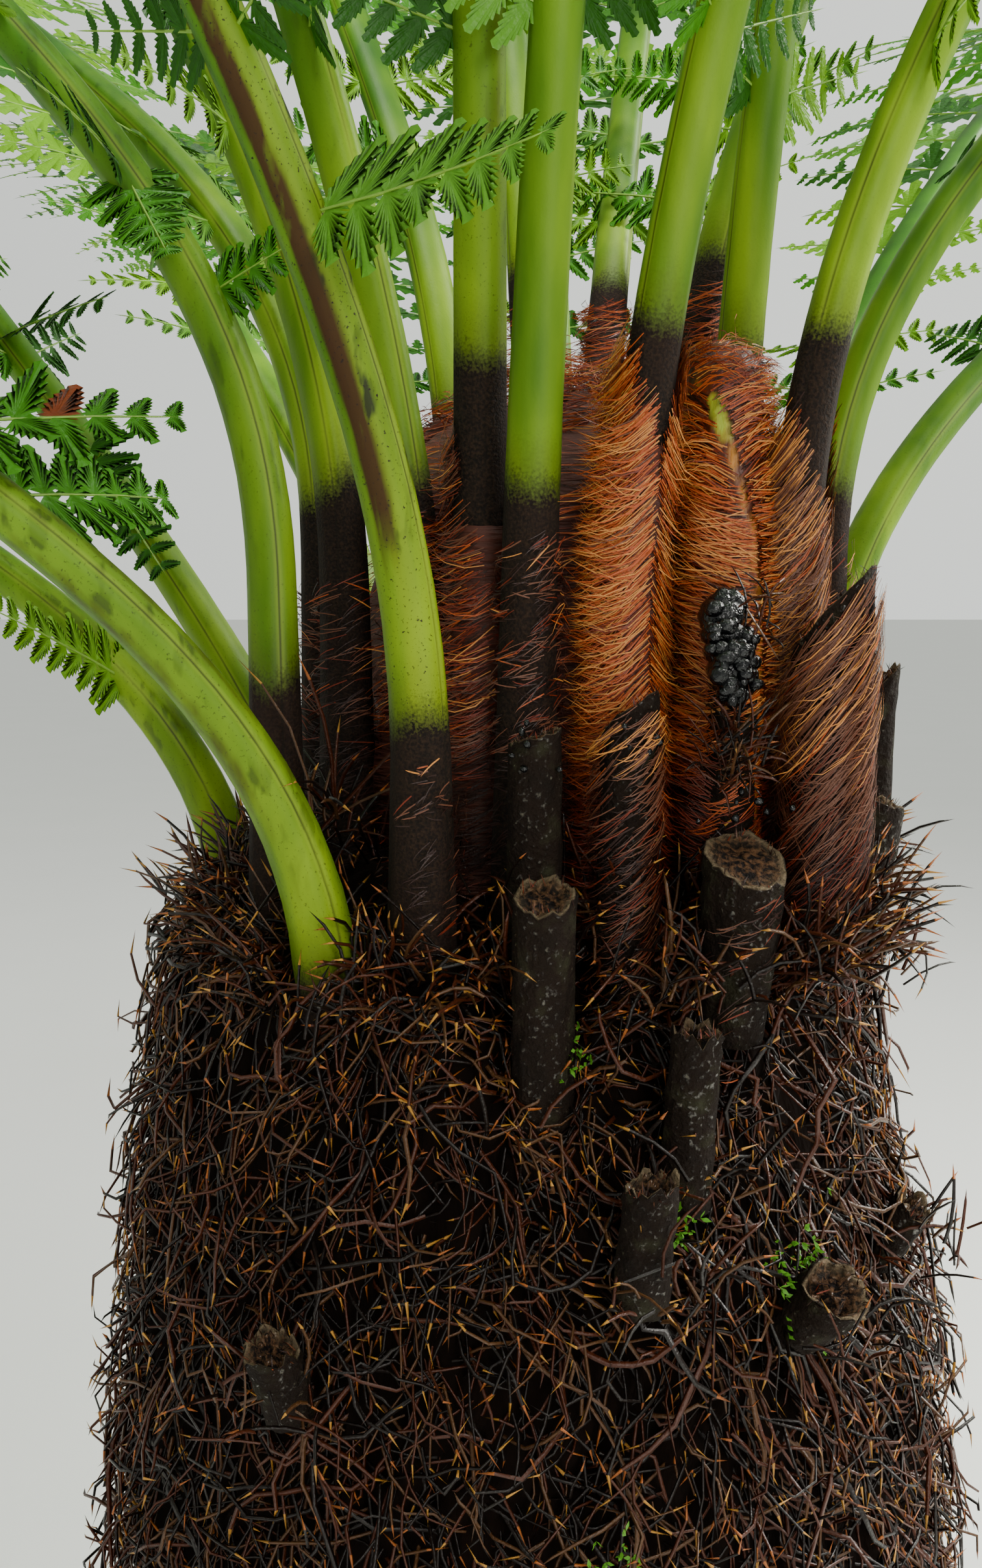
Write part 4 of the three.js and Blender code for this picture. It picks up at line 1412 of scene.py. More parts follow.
# %% Columns that carry hair
class Column:
    """An upright column: distances along it, points of its axis, and radii."""

    def __init__(self, marks, points, radii):
        self.marks = marks
        self.points = points
        self.radii = radii
        self.radius = float(np.median(radii))

    def __call__(self, azimuth, distance, off):
        middle = [np.interp(distance, self.marks, self.points[:, axis]) for axis in range(3)]
        radius = np.interp(distance, self.marks, self.radii) + off
        turn = np.radians(azimuth)
        x = middle[0] + radius * np.sin(turn)
        y = middle[1] - radius * np.cos(turn)
        over = np.maximum(0.0, distance - self.marks[-1])
        return np.stack([x, y, middle[2] + over], axis=-1)


def column_skin(column, low, high, off, sides=20, rings=24):
    """Points and triangles of a column's skin, with each point's azimuth and distance."""
    distance, azimuth = np.meshgrid(
        np.linspace(low, high, rings),
        np.linspace(-180.0, 180.0, sides, endpoint=False),
        indexing="ij",
    )
    points = column(azimuth, distance, off)
    triangles = without_slivers(skin(points[None]))
    return points.reshape(-1, 3), triangles, azimuth.ravel(), distance.ravel()


def stalk_column(number, low, high):
    marks = np.linspace(low, high, 14)
    return Column(marks, LINES[number - 1].at(marks), stalk_radius(marks))


def stub_column(row):
    top, _, _, shaft = stub_frame(row)
    marks = np.linspace(0.0, row[5] + 0.02, 8)
    radii = np.interp(marks, [0.0, row[5]], [row[3], row[4]])
    return Column(marks, top + (marks - row[5])[:, None] * shaft, radii)


print("radius of the first stub:", stub_column(STUB_ROWS[0]).radius)

# %% [markdown]
# The youngest frond stands as a thick bud at the right of the heart. Its skin shows as a
# golden parting between the hairs that are combed away to both sides, and as a pale green
# patch near its top. Two numbers at each point of the mesh say how near the parting and the
# patch are.

# %% The bud
BUD_LINE = np.array([
    [0.060, -0.078, 0.985],
    [0.061, -0.077, 1.020],
    [0.062, -0.074, 1.055],
    [0.062, -0.069, 1.090],
    [0.061, -0.062, 1.120],
    [0.061, -0.055, 1.147],
])
BUD_RADII = [0.013, 0.013, 0.0128, 0.0125, 0.0125, 0.0125]
BUD_CAP = 0.014  # length of the round end
BUD_PARTING = np.array([  # distance, azimuth, bare half width
    (0.0, 42, 1), (0.08, 34, 1), (0.1, 26, 2), (0.118, 6, 6), (0.138, -16, 12), (0.146, -24, 3),
    (0.15, -95, 0), (0.17, -110, 0),
])
PARTING_HALF = 6.5  # degrees, like the patch's half width
PATCH_HALF_WIDTH = 13.0
PATCH_MIDDLE = 0.138
PATCH_HALF_HEIGHT = 0.009


def bud_column():
    steps = np.linalg.norm(np.diff(BUD_LINE, axis=0), axis=1)
    line_marks = np.concatenate([[0.0], np.cumsum(steps)])
    marks = np.linspace(0.0, line_marks[-1], 60)
    points = np.stack([np.interp(marks, line_marks, BUD_LINE[:, axis]) for axis in range(3)], -1)
    past = np.maximum(0.0, marks - (marks[-1] - BUD_CAP)) / BUD_CAP
    radii = np.interp(marks, line_marks, BUD_RADII) * np.sqrt(1.001 - past ** 2)
    return Column(marks, points, radii)


def bud_finish():
    finish = Finish("bud skin")
    parting = finish.attribute("parting")
    patch = finish.attribute("patch")
    mottle = finish.noise(300.0, stretch=(1.0, 1.0, 0.35))
    # Painted shade: the bud's skin under its hair is dark felt.
    shaded_felt = finish.mix(mottle, colour("1c0803"), colour("70300e"))
    golden = finish.mix(mottle, colour("9c500a"), colour("cc9026"))
    shade = finish.mix((parting * 1.5 + mottle * 0.4 - 0.5).clamped(), shaded_felt, golden)
    fresh = finish.mix(mottle, colour("7c9a1c"), colour("b9bc3c"))
    shade = finish.mix((patch * 2.0 + mottle * 0.5 - 0.8).clamped(), shade, fresh)
    return finish.done(finish.surface(shade, 0.45, mottle, 0.0008))


BUD = bud_column()
bud_points, bud_triangles, bud_azimuth, bud_distance = column_skin(
    BUD, 0.0, BUD.marks[-1], 0.0, sides=28, rings=40,
)
off_parting = bud_azimuth - np.interp(bud_distance, BUD_PARTING[:, 0], BUD_PARTING[:, 1])
off_middle = (bud_distance - PATCH_MIDDLE) / PATCH_HALF_HEIGHT
bud_floats = {
    "parting": np.exp(-(off_parting / PARTING_HALF) ** 2),
    "patch": np.exp(-(off_parting / PATCH_HALF_WIDTH) ** 2 - off_middle ** 4),
}
add_piece("bud", bud_points, bud_triangles, bud_finish(), "rusty_hair", ["heart"], bud_floats)

# %% [markdown]
# Behind the bud the other young fronds are coiled up like springs. Each one is a tube along a
# spiral that gets thinner towards its middle.

# %% The coiled fronds
COILS = [  # azimuth, ring, height
    (58, 0.046, 1.118),
    (-20, 0.03, 1.124),
    (118, 0.026, 1.13),
    (-110, 0.04, 1.116),
]
COIL_TURN = (-0.4 * math.pi, 1.9 * math.pi, 26)  # from, to, and in how many points
COIL_REACH = 0.0145  # radius of the spiral where it starts
COIL_TIGHTENING = 0.0105
COIL_STEM = 0.045
COIL_THICKEST = 0.0075
COIL_THINNEST = 0.0042
COIL_TIP = 0.0005
COIL_SIDES = 14


def coil_line(azimuth, ring, height):
    """A coiled young frond: a spiral that winds in from the top of the heart."""
    middle = polar(azimuth, ring, height, HEART_X)
    turn = np.linspace(*COIL_TURN)
    reach = COIL_REACH - COIL_TIGHTENING * (turn - turn[0]) / (turn[-1] - turn[0])
    facing = polar(azimuth, 1.0, 0.0)
    swing = np.cos(turn)[:, None] * facing + np.sin(turn)[:, None] * [0.0, 0.0, 1.0]
    stem = middle + [0.0, 0.0, -COIL_STEM] - facing * 0.004
    return np.concatenate([stem[None], middle + reach[:, None] * swing])


coil_paths = np.stack([coil_line(*row) for row in COILS])
coil_taper = np.linspace(COIL_THICKEST, COIL_THINNEST, coil_paths.shape[1])
coil_radii = np.repeat(coil_taper[None], len(COILS), axis=0)
coil_radii[:, -1] = COIL_TIP
coil_rings = tube_rings(coil_paths, coil_radii, COIL_SIDES)
coil_mesh = (coil_rings.reshape(-1, 3), without_slivers(skin(coil_rings)))
add_piece("coiled_fronds", *coil_mesh, SHADED_FELT, "rusty_hair", ["heart"])

# %% [markdown]
# Hair on a young stalk grows from a parting and is combed round the stalk to both sides. Each
# hair is a path in the column's own terms: it starts beside the parting, follows the curve of
# the skin, falls and bends on the way, and lifts off at its tip. Hairs come in small tufts that
# share most of their numbers, which gives the combed look. The outer ones are dealt brighter
# tints as a painted highlight, and the inner ones darker tints as painted shade.

# %% Hair combed round a column
HAIR_SHARES = np.array([0.0, 0.34, 0.69, 1.0])
TUFT = 5
NEAR_PARTING = 1.9  # how much more hair starts near the parting than far from it
FARTHEST = 168.0  # degrees from the parting
SKIN_GAP = 0.0004
LAYERS = 0.0026  # how thick the coat of hair is at its roots
STRAY_SHARE = 0.02
STRAY_LIFT = 1.9


def comb_hair(chance, count, column, span, parting, length, lift, fall, bend):
    """Combed hairs: their paths, the way out of the skin along them, and each one's tone, with painted
    highlight on the outer layers.
    """
    tufts = max(1, count // TUFT)
    total = tufts * TUFT

    def by_tuft(values, spread):
        return np.repeat(values, TUFT) + chance.normal(0.0, spread, total)

    parting = np.array(parting, dtype=float)
    along = np.repeat(chance.uniform(*span, tufts), TUFT)
    start = by_tuft(chance.random(tufts) ** NEAR_PARTING, 0.03).clip(0.0, 1.0)
    layer = by_tuft(chance.random(tufts), 0.15).clip(0.0, 1.0)
    drop = by_tuft(chance.normal(fall, 0.09, tufts), 0.09)
    curve = by_tuft(chance.normal(bend, 0.12, tufts), 0.08)
    hand = np.repeat(chance.choice([-1.0, 1.0], tufts), TUFT)
    bare = np.interp(along, parting[:, 0], parting[:, 2])
    ridge = np.interp(along, parting[:, 0], parting[:, 1])
    away = bare + (FARTHEST - bare) * start
    aside = chance.normal(0.0, 0.003, total)
    long = chance.uniform(*length, total)
    base = SKIN_GAP + LAYERS * layer + chance.uniform(0.0, 0.0007, total)
    rise = lift * (0.35 + 0.65 * layer) * chance.uniform(0.6, 1.2, total)
    rise = rise * np.where(chance.random(total) < STRAY_SHARE, STRAY_LIFT, 1.0)
    paths = []
    outward = []
    for share in HAIR_SHARES:
        run = long * share
        turned = np.degrees(run * (1 - 0.25 * share) / (column.radius + 0.003))
        azimuth = ridge + hand * (away + turned)
        distance = along + aside * (1 - 0.6 * share) - run * (drop + curve * (share - 0.4))
        off = base + rise * share ** 1.7
        paths.append(column(azimuth, distance, off))
        outward.append(unit(column(azimuth, distance, off + 0.001) - paths[-1]))
    # Painted highlight: outer layers of hair rank brighter and inner ones darker, as painted shade;
    # chance mixes in the hairs' own tone.
    tone_and_light = 0.45 * layer + 0.55 * chance.random(total)
    return np.stack(paths, axis=1), np.stack(outward, axis=1), tone_and_light


print("triangles in a hair:", 2 * (len(HAIR_SHARES) - 1) - 1)

# %% [markdown]
# The stalks nearest the heart wear the brightest hair, and it thins and darkens outwards. Each
# row names a stalk, where its hair begins and ends, where its parting is, how many hairs it has,
# how long they are, how they lift, fall and bend, and which of the tints they take. The tints
# run from dark to bright, and a palette says what share of the hairs lies below each of them.
# A parting is a few places up the stalk, with its azimuth and how wide it is bare there.

# %% Which hair grows where
# The gold tint serves partly as painted highlight on the outer hairs.
HAIR_TINTS = [
    ("umber", "260d05"),
    ("rust", "6a2208"),
    ("dun", "603825"),
    ("orange", "a34712"),
    ("gold", "bd7a38"),
]
BRIGHT = [0.16, 0.5, 0.55, 0.88]
WARM = [0.2, 0.6, 0.65, 0.95]
DUN = [0.28, 0.38, 0.86, 0.88]
FADED = [0.46, 0.58, 0.965, 0.97]
BROWN = [0.45, 0.72, 0.9, 0.97]
DARK = [0.7, 0.8, 0.98, 0.99]
FRONT_PARTING = [(0.0, 32, 0), (0.118, 32, 1), (0.135, 30, 12), (0.158, 25, 75)]
RIGHT_PARTING = [(0.0, 72, 0), (0.11, 66, 0), (0.142, 40, 70)]
LEFT_PARTING = [(0.0, 22, 0), (0.08, 24, 3), (0.128, 24, 80)]
SIDE_PARTING = [(0.0, 60, 0)]
FAR_PARTING = [(0.0, 100, 0)]
STALK_HAIR = [  # stalk, from, to, parting, hairs, shortest, longest, lift, fall, bend, palette
    (4, -0.01, 0.158, FRONT_PARTING, 7200, 0.017, 0.031, 0.008, 0.85, -0.8, BRIGHT),
    (5, -0.01, 0.142, RIGHT_PARTING, 4400, 0.017, 0.029, 0.005, 1.2, -0.7, DUN),
    (1, -0.01, 0.05, FAR_PARTING, 300, 0.004, 0.009, 0.0015, 0.3, 0.0, DARK),
    (2, -0.01, 0.098, SIDE_PARTING, 1100, 0.005, 0.011, 0.002, 0.3, 0.0, DARK),
    (3, -0.01, 0.128, LEFT_PARTING, 2400, 0.015, 0.028, 0.006, 0.5, -0.5, BROWN),
    (17, 0.03, 0.1, [(0.0, 80, 0)], 900, 0.014, 0.024, 0.004, 0.1, 0.1, BROWN),
    (7, 0.08, 0.188, SIDE_PARTING, 1100, 0.016, 0.026, 0.005, 0.3, -0.2, WARM),
    (8, 0.08, 0.2, SIDE_PARTING, 1300, 0.016, 0.026, 0.005, 0.3, -0.2, WARM),
    (9, 0.0, 0.185, SIDE_PARTING, 1700, 0.016, 0.026, 0.005, 0.3, -0.2, BRIGHT),
    (24, 0.08, 0.14, SIDE_PARTING, 600, 0.016, 0.026, 0.005, 0.3, -0.2, WARM),
    (23, 0.0, 0.195, SIDE_PARTING, 1600, 0.016, 0.026, 0.005, 0.3, -0.2, WARM),
    (16, 0.02, 0.14, SIDE_PARTING, 800, 0.016, 0.026, 0.005, 0.3, -0.2, WARM),
    (6, -0.01, 0.1, FAR_PARTING, 700, 0.014, 0.024, 0.004, 0.5, -0.2, DUN),
    (10, -0.01, 0.085, SIDE_PARTING, 500, 0.01, 0.018, 0.003, 0.2, 0.1, DARK),
    (15, -0.01, 0.085, [(0.0, -60, 0)], 400, 0.01, 0.018, 0.003, 0.2, 0.1, DARK),
]
BUD_HAIR = [  # from, to, hairs, shortest, longest, lift, fall, bend
    (0.0, 0.118, 4200, 0.017, 0.029, 0.006, -0.12, -0.25),
    (0.112, 0.158, 1600, 0.014, 0.026, 0.005, -0.5, 0.6),
]
print("stalks with hair:", len(STALK_HAIR))

# %% [markdown]
# Each row is combed by the rule above. The hairs aren't made into meshes yet: all sets are kept
# until the end, because they will be dealt out by tint and not by stalk.

# %% Hair on the stalks and the bud
STALK_FOOT = -0.03
HAIR_OVERHANG = 0.03

hair_sets = []
for number, low, high, parting, hairs, short, long, lift, fall, bend, palette in STALK_HAIR:
    column = stalk_column(number, STALK_FOOT, high + HAIR_OVERHANG)
    combed = comb_hair(dice(f"hair {number}"), hairs, column, (low, high), parting,
                       (short, long), lift, fall, bend)
    hair_sets.append((combed, palette))
for low, high, hairs, short, long, lift, fall, bend in BUD_HAIR:
    combed = comb_hair(dice(f"bud hair {low}"), hairs, BUD, (low, high), BUD_PARTING,
                       (short, long), lift, fall, bend)
    hair_sets.append((combed, BRIGHT))
print("hairs on stalks and bud:", sum(len(combed[0]) for combed, _ in hair_sets))

# %% [markdown]
# Between the hairs a person sees more hair, in shade, and never the bare stalk. A thin sleeve of
# felt round each thickly haired stalk does for that, its dark colour the painted shade down between
# the hairs, and costs much less than more hairs would.

# %% Felt under the hair
FELTED = [4, 5, 3, 17, 7, 8, 9, 24, 23, 16, 6]
FELT_THICKNESS = 0.0013
FELT_FOOT = -0.02
FELT_BELOW = 0.024  # how far under the last hairs the felt ends

felt_parts = []
for number, _, high, *_ in STALK_HAIR:
    if number in FELTED:
        top = high - FELT_BELOW
        column = stalk_column(number, STALK_FOOT, top)
        column.radii[-2:] = column.radii[-2:] - [0.0, 2 * FELT_THICKNESS]
        shaded_felt = column_skin(column, FELT_FOOT, top, FELT_THICKNESS, sides=16, rings=20)
        felt_parts.append(shaded_felt[:2])
add_piece("felt_on_stalks", *joined(felt_parts), SHADED_FELT, "rusty_hair", ["heart"])

# %% [markdown]
# Stubs in front of the heart keep the hair of the fronds that they were. On the big slanting
# one it runs off its right edge and hangs to the left. No hair grows above a stub's cut.

# %% Hair on the stubs
STUB_HAIR = [  # stub, parting, hairs, shortest, longest, lift, fall, bend, palette
    (6, 98, 3600, 0.017, 0.03, 0.0035, 1.2, -0.6, FADED),
    (4, 80, 1200, 0.008, 0.018, 0.0025, 0.4, -0.3, WARM),
    (3, 80, 1700, 0.009, 0.018, 0.0025, 0.7, -0.4, FADED),
    (5, 60, 260, 0.006, 0.012, 0.002, 0.4, -0.2, DARK),
]
STUB_HAIR_FROM = 0.02
STUB_HAIR_OVER = 0.016  # how far over the stub's length hair is combed, before it is cut
TORN_FIBRES = 60


def below_cut(combed, row, aslant):
    """Only the hairs that stay below a stub's slanting cut and the bare bark under its high side."""
    top, outward, sideways, shaft = stub_frame(row)
    from_top = combed[0] - top
    aside = from_top @ sideways
    limit = row[7] * (from_top @ outward) + aslant * (aside - np.maximum(0.0, 1.4 * aside + 0.004))
    kept = (from_top @ shaft < limit - 0.001).all(axis=1)
    return tuple(part[kept] for part in combed)


for number, parting, hairs, short, long, lift, fall, bend, palette in STUB_HAIR:
    stub_row = STUB_ROWS[number - 1]
    span = (STUB_HAIR_FROM, stub_row[5] + STUB_HAIR_OVER)
    combed = comb_hair(dice(f"stub hair {number}"), hairs, stub_column(stub_row), span,
                       [(0.0, parting, 0.0)], (short, long), lift, fall, bend)
    aslant = STUB_SHAPES.get(number - 1, PLAIN_SHAPE)[2]
    hair_sets.append((below_cut(combed, stub_row, aslant), palette))


def torn_fibres(row, chance, count, aslant):
    """Short fibres that stand on the rim of a torn stub."""
    top, outward, sideways, shaft = stub_frame(row)
    turn = chance.uniform(0.0, FULL_TURN, count)
    radial = np.cos(turn)[:, None] * outward + np.sin(turn)[:, None] * sideways
    reach = row[4] * chance.uniform(0.72, 1.03, count)
    lift = reach * (row[7] * np.cos(turn) + aslant * np.sin(turn)) - 0.0012
    root = top + reach[:, None] * radial + lift[:, None] * shaft
    heading = unit(shaft + chance.normal(0.15, 0.45, (count, 1)) * radial
                   + chance.normal(0.0, 0.4, (count, 3)))
    length = chance.uniform(0.0018, 0.0055, count)
    paths = [root + (share * length)[:, None] * heading for share in HAIR_SHARES]
    outward = np.repeat(radial[:, None], len(HAIR_SHARES), axis=1)
    return np.stack(paths, axis=1), outward, chance.random(count)


for number, stub_row in enumerate(ALL_STUB_ROWS):
    aslant = STUB_SHAPES.get(number, PLAIN_SHAPE)[2]
    fibres = torn_fibres(stub_row, dice(f"fibres {number}"), TORN_FIBRES, aslant)
    hair_sets.append((fibres, DARK))
print("hairs so far:", sum(len(combed[0]) for combed, _ in hair_sets))

# %% [markdown]
# The rest of the heart is covered the same way, with its whole body as one wide column, and
# each coiled frond as a ball with hair combed round it.

# %% Hair on the heart
class HeartSkin:
    """The heart's surface as a column, its distance running over its side and its dome."""

    radius = 0.06
    length = 0.2

    def __call__(self, azimuth, distance, off):
        share = np.clip(distance / self.length, 0.0, 0.99)
        radius, height = heart_profile(share)
        slope = heart_dome(share)
        turn = np.radians(azimuth)
        radius = radius + off * np.cos(slope)
        x = HEART_X + radius * np.sin(turn)
        y = -radius * np.cos(turn)
        return np.stack([x, y, height + off * np.sin(slope)], axis=-1)


def ball_column(middle, radius):
    marks = np.linspace(-0.97, 0.97, 15) * radius
    points = middle + marks[:, None] * [0.0, 0.0, 1.0]
    return Column(marks, points, np.sqrt(radius ** 2 - marks ** 2))


HEART_HAIRS = 4600
COIL_HAIRS = 640
COIL_BALL = 0.0205

heart_hair = comb_hair(dice("heart hair"), HEART_HAIRS, HeartSkin(), (0.02, 0.195), FAR_PARTING,
                       (0.018, 0.034), 0.008, 0.1, 0.1)
hair_sets.append((heart_hair, WARM))
for azimuth, ring, height in COILS:
    ball = ball_column(polar(azimuth, ring, height, HEART_X), COIL_BALL)
    combed = comb_hair(dice(f"coil hair {azimuth}"), COIL_HAIRS, ball, (-0.012, 0.0195),
                       [(0.0, azimuth, 4)], (0.012, 0.022), 0.004, -0.15, 0.1)
    hair_sets.append((combed, WARM))
print("hairs in all:", sum(len(combed[0]) for combed, _ in hair_sets))

# %% [markdown]
# A hair becomes a flat ribbon that narrows to a point and lies flat to the skin it grows from.
# Real hair is a thin tube, but at this size a ribbon looks the same for a third of the
# triangles.

# %% Ribbons
HAIR_WIDTH = 0.00036
HAIR_TAPER = np.array([0.85, 1.0, 0.8, 0.0])


def ribbons(paths, outward, widths):
    """Flat ribbons along paths, facing outward."""
    steps = np.diff(paths, axis=1)
    along = unit(np.concatenate([steps, steps[:, -1:]], axis=1))
    across = unit(np.cross(along, outward))
    half = 0.5 * widths[:, None, None] * HAIR_TAPER[:, None] * across
    rings = np.stack([paths - half, paths + half], axis=2)
    count, length = rings.shape[:2]
    index = np.arange(count * length * 2).reshape(count, length, 2)
    low = index[:, :-1]
    high = index[:, 1:].copy()
    high[:, -1, 1] = high[:, -1, 0]
    first = np.stack([low[..., 0], low[..., 1], high[..., 1]], axis=-1)
    second = np.stack([low[..., 0], high[..., 1], high[..., 0]], axis=-1)
    return rings.reshape(-1, 3), np.stack([first, second], axis=2)


hair_paths = np.concatenate([combed[0] for combed, _ in hair_sets])
hair_outward = np.concatenate([combed[1] for combed, _ in hair_sets])
hair_widths = HAIR_WIDTH * dice("hair widths").uniform(0.6, 1.3, len(hair_paths))
hair_points, hair_triangles = ribbons(hair_paths, hair_outward, hair_widths)
print("points in all the ribbons:", len(hair_points))

# %% [markdown]
# Like the roots, the hairs are dealt out to one piece for each tint. The outer hairs of a stalk,
# and those that chance favours, get the brightest tints of its palette as a painted highlight, and
# all hair is painted darker down among the roots, as painted shade.

# %% Hairs dealt out by tint
# Painted shade: hairs whose roots lie low among the roots get darker tints.
PAINTED_SHADE_BY_HEIGHT = ([1.0, 1.035], [0.35, 1.0])  # heights of a hair's root, and how bright it may be


def hair_finish(name, code):
    finish = Finish(name)
    strands = finish.noise(1200.0, detail=1.0)
    return finish.done(finish.surface(colour(code), 0.48, strands, 0.0002, shine=0.35))


def tint_of(combed, palette):
    """A tint for each hair, by its rank in tone, painted highlight and painted shade."""
    tone_and_light = combed[2] * np.interp(combed[0][:, 0, 2], *PAINTED_SHADE_BY_HEIGHT)
    rank = tone_and_light.argsort().argsort() / len(tone_and_light)
    return np.searchsorted(palette, rank)


hair_tints = np.concatenate([tint_of(combed, palette) for combed, palette in hair_sets])
for tint, (word, code) in enumerate(HAIR_TINTS):
    chosen = without_slivers(hair_triangles[hair_tints == tint])
    add_piece(f"hair_{word}", *compact(hair_points, chosen), hair_finish("hair " + word, code),
              "rusty_hair", ["heart"])

# %% [markdown]
# One stub has bled a dark resin that dried in beads, packed like a bunch of berries. Each bead
# is a small ball, squashed a little. A ball is a tube in disguise: its first and last rings have
# no width, so each of them is drawn together into a single point.

# %% Many small balls
BEAD_SIDES = 9
BEAD_RINGS = 5


def balls(centres, radii):
    """Many small balls as one mesh."""
    polar_angle = np.linspace(0.0, math.pi, BEAD_RINGS + 2)
    turn = np.linspace(0.0, FULL_TURN, BEAD_SIDES, endpoint=False)
    flat = np.sin(polar_angle)[:, None]
    x = flat * np.cos(turn)
    y = flat * np.sin(turn)
    z = np.repeat(-np.cos(polar_angle)[:, None], BEAD_SIDES, axis=1)
    ball = np.stack([x, y, z], axis=-1)
    squash = dice("squashed beads").uniform(0.72, 1.28, (len(centres), 1, 1, 3))
    rings = centres[:, None, None] + radii[:, None, None, None] * squash * ball
    triangles = skin(rings)
    index = triangles.copy()
    first_ring = np.arange(len(centres))[:, None] * (BEAD_RINGS + 2) * BEAD_SIDES
    for side in range(1, BEAD_SIDES):
        index = np.where(index == (first_ring + side)[:, None, None], first_ring[:, None, None], index)
    return compact(rings.reshape(-1, 3), without_slivers(index))


print("triangles in a ball:", len(balls(np.zeros((1, 3)), np.ones(1))[1]))

# %% [markdown]
# The beads fill an oval on the face of the stub, and stand out furthest in its middle. A few
# larger balls behind them keep hair from showing through, and some small drops have run down.
# The finish is almost black, with a hard, glassy shine.

# %% Beads of dried resin
BEADS = 84
BEAD_SIZES = (0.0015, 0.0031)
BEADS_MIDDLE = polar(30, 0.117, 1.05)
BEADS_HALF_WIDTH = 0.0088
BEADS_HALF_HEIGHT = 0.017
BEADS_BULGE = 0.004
BEADS_JITTER = 0.0015
FILLING = (-0.011, 0.011, 5)  # larger balls: along the oval from, to, and how many
FILLING_DEPTH = 0.0025
FILLING_SIZE = 0.0062
DROPS = [  # azimuth, ring, height, number, spread
    (15, 0.118, 1.026, 9, 0.004),
    (0, 0.112, 1.022, 8, 0.005),
    (30, 0.125, 1.004, 7, 0.005),
]
DROP_SIZES = (0.0009, 0.0017)


def resin_beads():
    chance = dice("beads")
    up = unit(np.array([-0.12, 0.25, 1.0]))
    side = unit(np.array([0.83, 0.55, 0.0]))
    out = np.array([0.4, -0.9, 0.1])
    turn = chance.uniform(0.0, FULL_TURN, BEADS)
    reach = np.sqrt(chance.random(BEADS))
    across = BEADS_HALF_WIDTH * reach * np.cos(turn)
    along = BEADS_HALF_HEIGHT * reach * np.sin(turn)
    bulge = BEADS_BULGE * (1 - reach ** 2) + chance.uniform(0.0, BEADS_JITTER, BEADS)
    flat = BEADS_MIDDLE + across[:, None] * side + along[:, None] * up
    filling = np.linspace(*FILLING)[:, None] * up - FILLING_DEPTH * out
    centres = [flat + bulge[:, None] * out, BEADS_MIDDLE + filling]
    radii = [chance.uniform(*BEAD_SIZES, BEADS), np.full(len(filling), FILLING_SIZE)]
    for azimuth, ring, height, number, spread in DROPS:
        scatter = chance.normal(0.0, spread, (number, 3)) * [1.0, 0.4, 1.0]
        centres.append(polar(azimuth, ring, height) + scatter)
        radii.append(chance.uniform(*DROP_SIZES, number))
    return balls(np.concatenate(centres), np.concatenate(radii))


def resin_finish():
    finish = Finish("dried resin")
    dents = finish.noise(650.0)
    shade = finish.mix(dents, colour("030303"), colour("0c0e10"))
    return finish.done(finish.surface(shade, 0.07, dents, 0.0007, shine=0.42))


add_piece("resin_beads", *resin_beads(), resin_finish(), "old_stub", ["stub_04"])

# %% [markdown]
# Moss settles where the trunk stays wet. Each tuft has three tiny leaves that point out from the
# roots, and a few dozen tufts make a patch.

# %% Moss
MOSS_SPOTS = [  # azimuth, height, tufts, spread
    (33, 0.862, 60, 0.008),
    (4.5, 0.937, 22, 0.005),
    (8, 0.79, 22, 0.006),
    (17, 0.885, 16, 0.004),
    (150, 0.86, 70, 0.012),
    (-100, 0.75, 60, 0.012),
    (-150, 0.55, 90, 0.02),
    (80, 0.4, 90, 0.02),
]
MOSS_OFF = 0.003  # how far off the trunk's surface moss grows, on the roots
MOSS_RING = 0.16  # the trunk's radius, to turn a spread into an angle
MOSS_LEAVES = 3
MOSS_LENGTHS = (0.0015, 0.0038)
MOSS_HALF_WIDTH = 0.0007


def moss_leaves():
    chance = dice("moss")
    parts = []
    for azimuth, height, count, spread in MOSS_SPOTS:
        angle = math.radians(azimuth - 90) + chance.normal(0.0, spread / MOSS_RING, count)
        way = way_at(height) + chance.normal(0.0, spread, count)
        root = on_trunk(angle, way, MOSS_OFF)
        out = unit(root * [1.0, 1.0, 0.0])
        for _ in range(MOSS_LEAVES):
            heading = unit(out + chance.normal(0.0, 0.7, (count, 3)))
            across = unit(np.cross(heading, chance.normal(0.0, 1.0, (count, 3))))
            long = chance.uniform(*MOSS_LENGTHS, (count, 1))
            tip = root + heading * long
            middle = root + heading * long * 0.5
            half = across * MOSS_HALF_WIDTH
            points = np.stack([root, middle + half, tip, middle - half], axis=1)
            corners = np.arange(count)[:, None, None] * 4 + np.array([[0, 1, 2], [0, 2, 3]])
            parts.append((points.reshape(-1, 3), corners.reshape(-1, 3)))
    return joined(parts)


add_piece("moss", *moss_leaves(), leaf_finish("moss", "5f9a2c"), "frond", ALL_FROND_NODES)

# %% [markdown]
# The picture is taken from close in front, with the camera a hand's breadth above the trunk
# and tipped down a little. The lens is a normal one for the picture's tall frame, and the
# frame cuts through the crown, so most of the fronds lie outside it.

# %% Camera
CAMERA_PLACE = Vector((-0.013, -0.57, 1.076))
CAMERA_TILT = 8.0  # degrees down from level
FOCAL_LENGTH = 36.0  # in millimetres, like the sensor's width
SENSOR_WIDTH = 36.0
NEAREST = 0.01

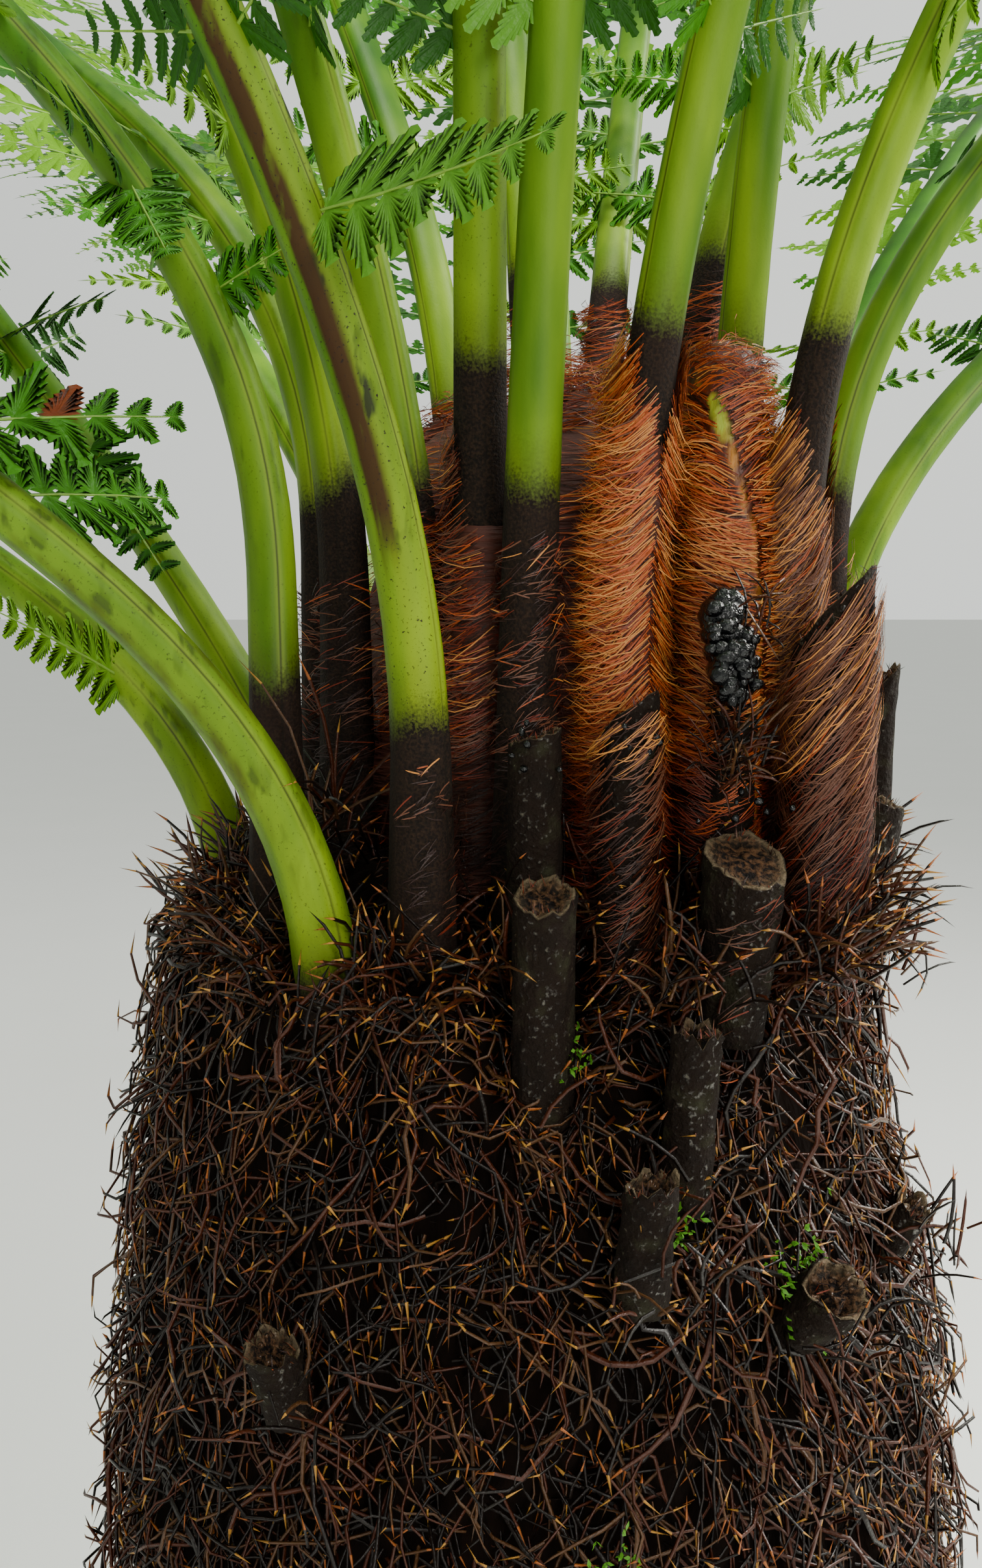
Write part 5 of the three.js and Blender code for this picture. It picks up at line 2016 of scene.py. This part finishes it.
lens = bpy.data.cameras.new("camera")
lens.lens = FOCAL_LENGTH
lens.sensor_width = SENSOR_WIDTH
lens.clip_start = NEAREST
camera = bpy.data.objects.new("camera", lens)
camera.location = CAMERA_PLACE
camera.rotation_euler = (math.radians(90.0 - CAMERA_TILT), 0.0, 0.0)
bpy.context.collection.objects.link(camera)
bpy.context.scene.camera = camera
print("camera at", tuple(camera.location))

# %% [markdown]
# A pale floor and a pale sky of nearly the same brightness give a plain studio. The floor is one
# square, large enough that its edge lies far behind the plant.

# %% Floor
FLOOR_SIZE = 60.0


def floor_finish():
    finish = Finish("studio floor")
    grain = finish.noise(3.0)
    shade = finish.mix(grain, colour("eaece7"), colour("eff0ec"))
    return finish.done(finish.node("BsdfPrincipled", {}, {"Base Color": shade, "Roughness": 0.9}))


half = FLOOR_SIZE / 2
floor_corners = [(-half, -half, 0.0), (half, -half, 0.0), (half, half, 0.0), (-half, half, 0.0)]
floor_mesh = bpy.data.meshes.new("floor")
floor_mesh.from_pydata(floor_corners, [], [(0, 1, 2, 3)])
floor_mesh.materials.append(floor_finish())
floor = bpy.data.objects.new("floor", floor_mesh)
bpy.context.collection.objects.link(floor)
print("floor:", FLOOR_SIZE, "m wide")

# %% [markdown]
# The sky is brighter behind the plant than in front of it, so that stalks and leaves get a bright
# edge. The world's material can do that with one dot product of the way that a ray goes and the
# way to the brightest place.

# %% Sky
SKY = (0.95, 0.98, 0.93, 1.0)
SKY_WAY = (0.42, 0.86, 0.3)
SKY_DIM = 0.56
SKY_BRIGHT = 1.22


def studio_sky():
    """A pale sky, brighter behind the plant than in front of it."""
    finish = Finish("studio sky", "worlds")
    ray = finish.node("TexCoord", {}, {}, output=0)
    dot_product = {"operation": "DOT_PRODUCT"}
    towards = finish.node("VectorMath", dot_product, {0: ray, 1: SKY_WAY}, output=1)
    share = towards * 0.5 + 0.5
    strength = SKY_DIM + share * share * share * (SKY_BRIGHT - SKY_DIM)
    sky = finish.node("Background", {}, {"Color": SKY, "Strength": strength})
    return finish.done(sky, "OutputWorld")


bpy.context.scene.world = studio_sky()
print("sky from", SKY_DIM, "to", SKY_BRIGHT)

# %% [markdown]
# The light comes mostly from above and behind, so that the leaves glow, and a wide soft light in
# front, under the crown, reaches the roots and the hair.

# %% Lights
HEAD = (0.0, -0.05, 1.05)
LIGHTS = [  # name, place, aim, size, watts, tint
    ("side light", (2.4, 0.7, 2.7), HEAD, 1.2, 215.0, (1.0, 0.98, 0.92)),
    ("top light", (0.2, -0.9, 3.6), HEAD, 1.0, 110.0, (1.0, 1.0, 0.96)),
    ("front light", (0.7, -1.7, 1.5), (0.0, 0.0, 0.98), 0.7, 17.0, (1.0, 0.97, 0.92)),
]


def add_light(name, place, aim, size, watts, tint):
    """A square soft light that the camera doesn't see."""
    data = bpy.data.lights.new(name, "AREA")
    data.shape = "SQUARE"
    data.size = size
    data.energy = watts
    data.color = tint
    light = bpy.data.objects.new(name, data)
    light.location = place
    light.rotation_euler = (Vector(aim) - Vector(place)).to_track_quat("-Z", "Y").to_euler()
    light.visible_camera = False
    bpy.context.collection.objects.link(light)


for light_row in LIGHTS:
    add_light(*light_row)
print("lights:", [name for name, *_ in LIGHTS])
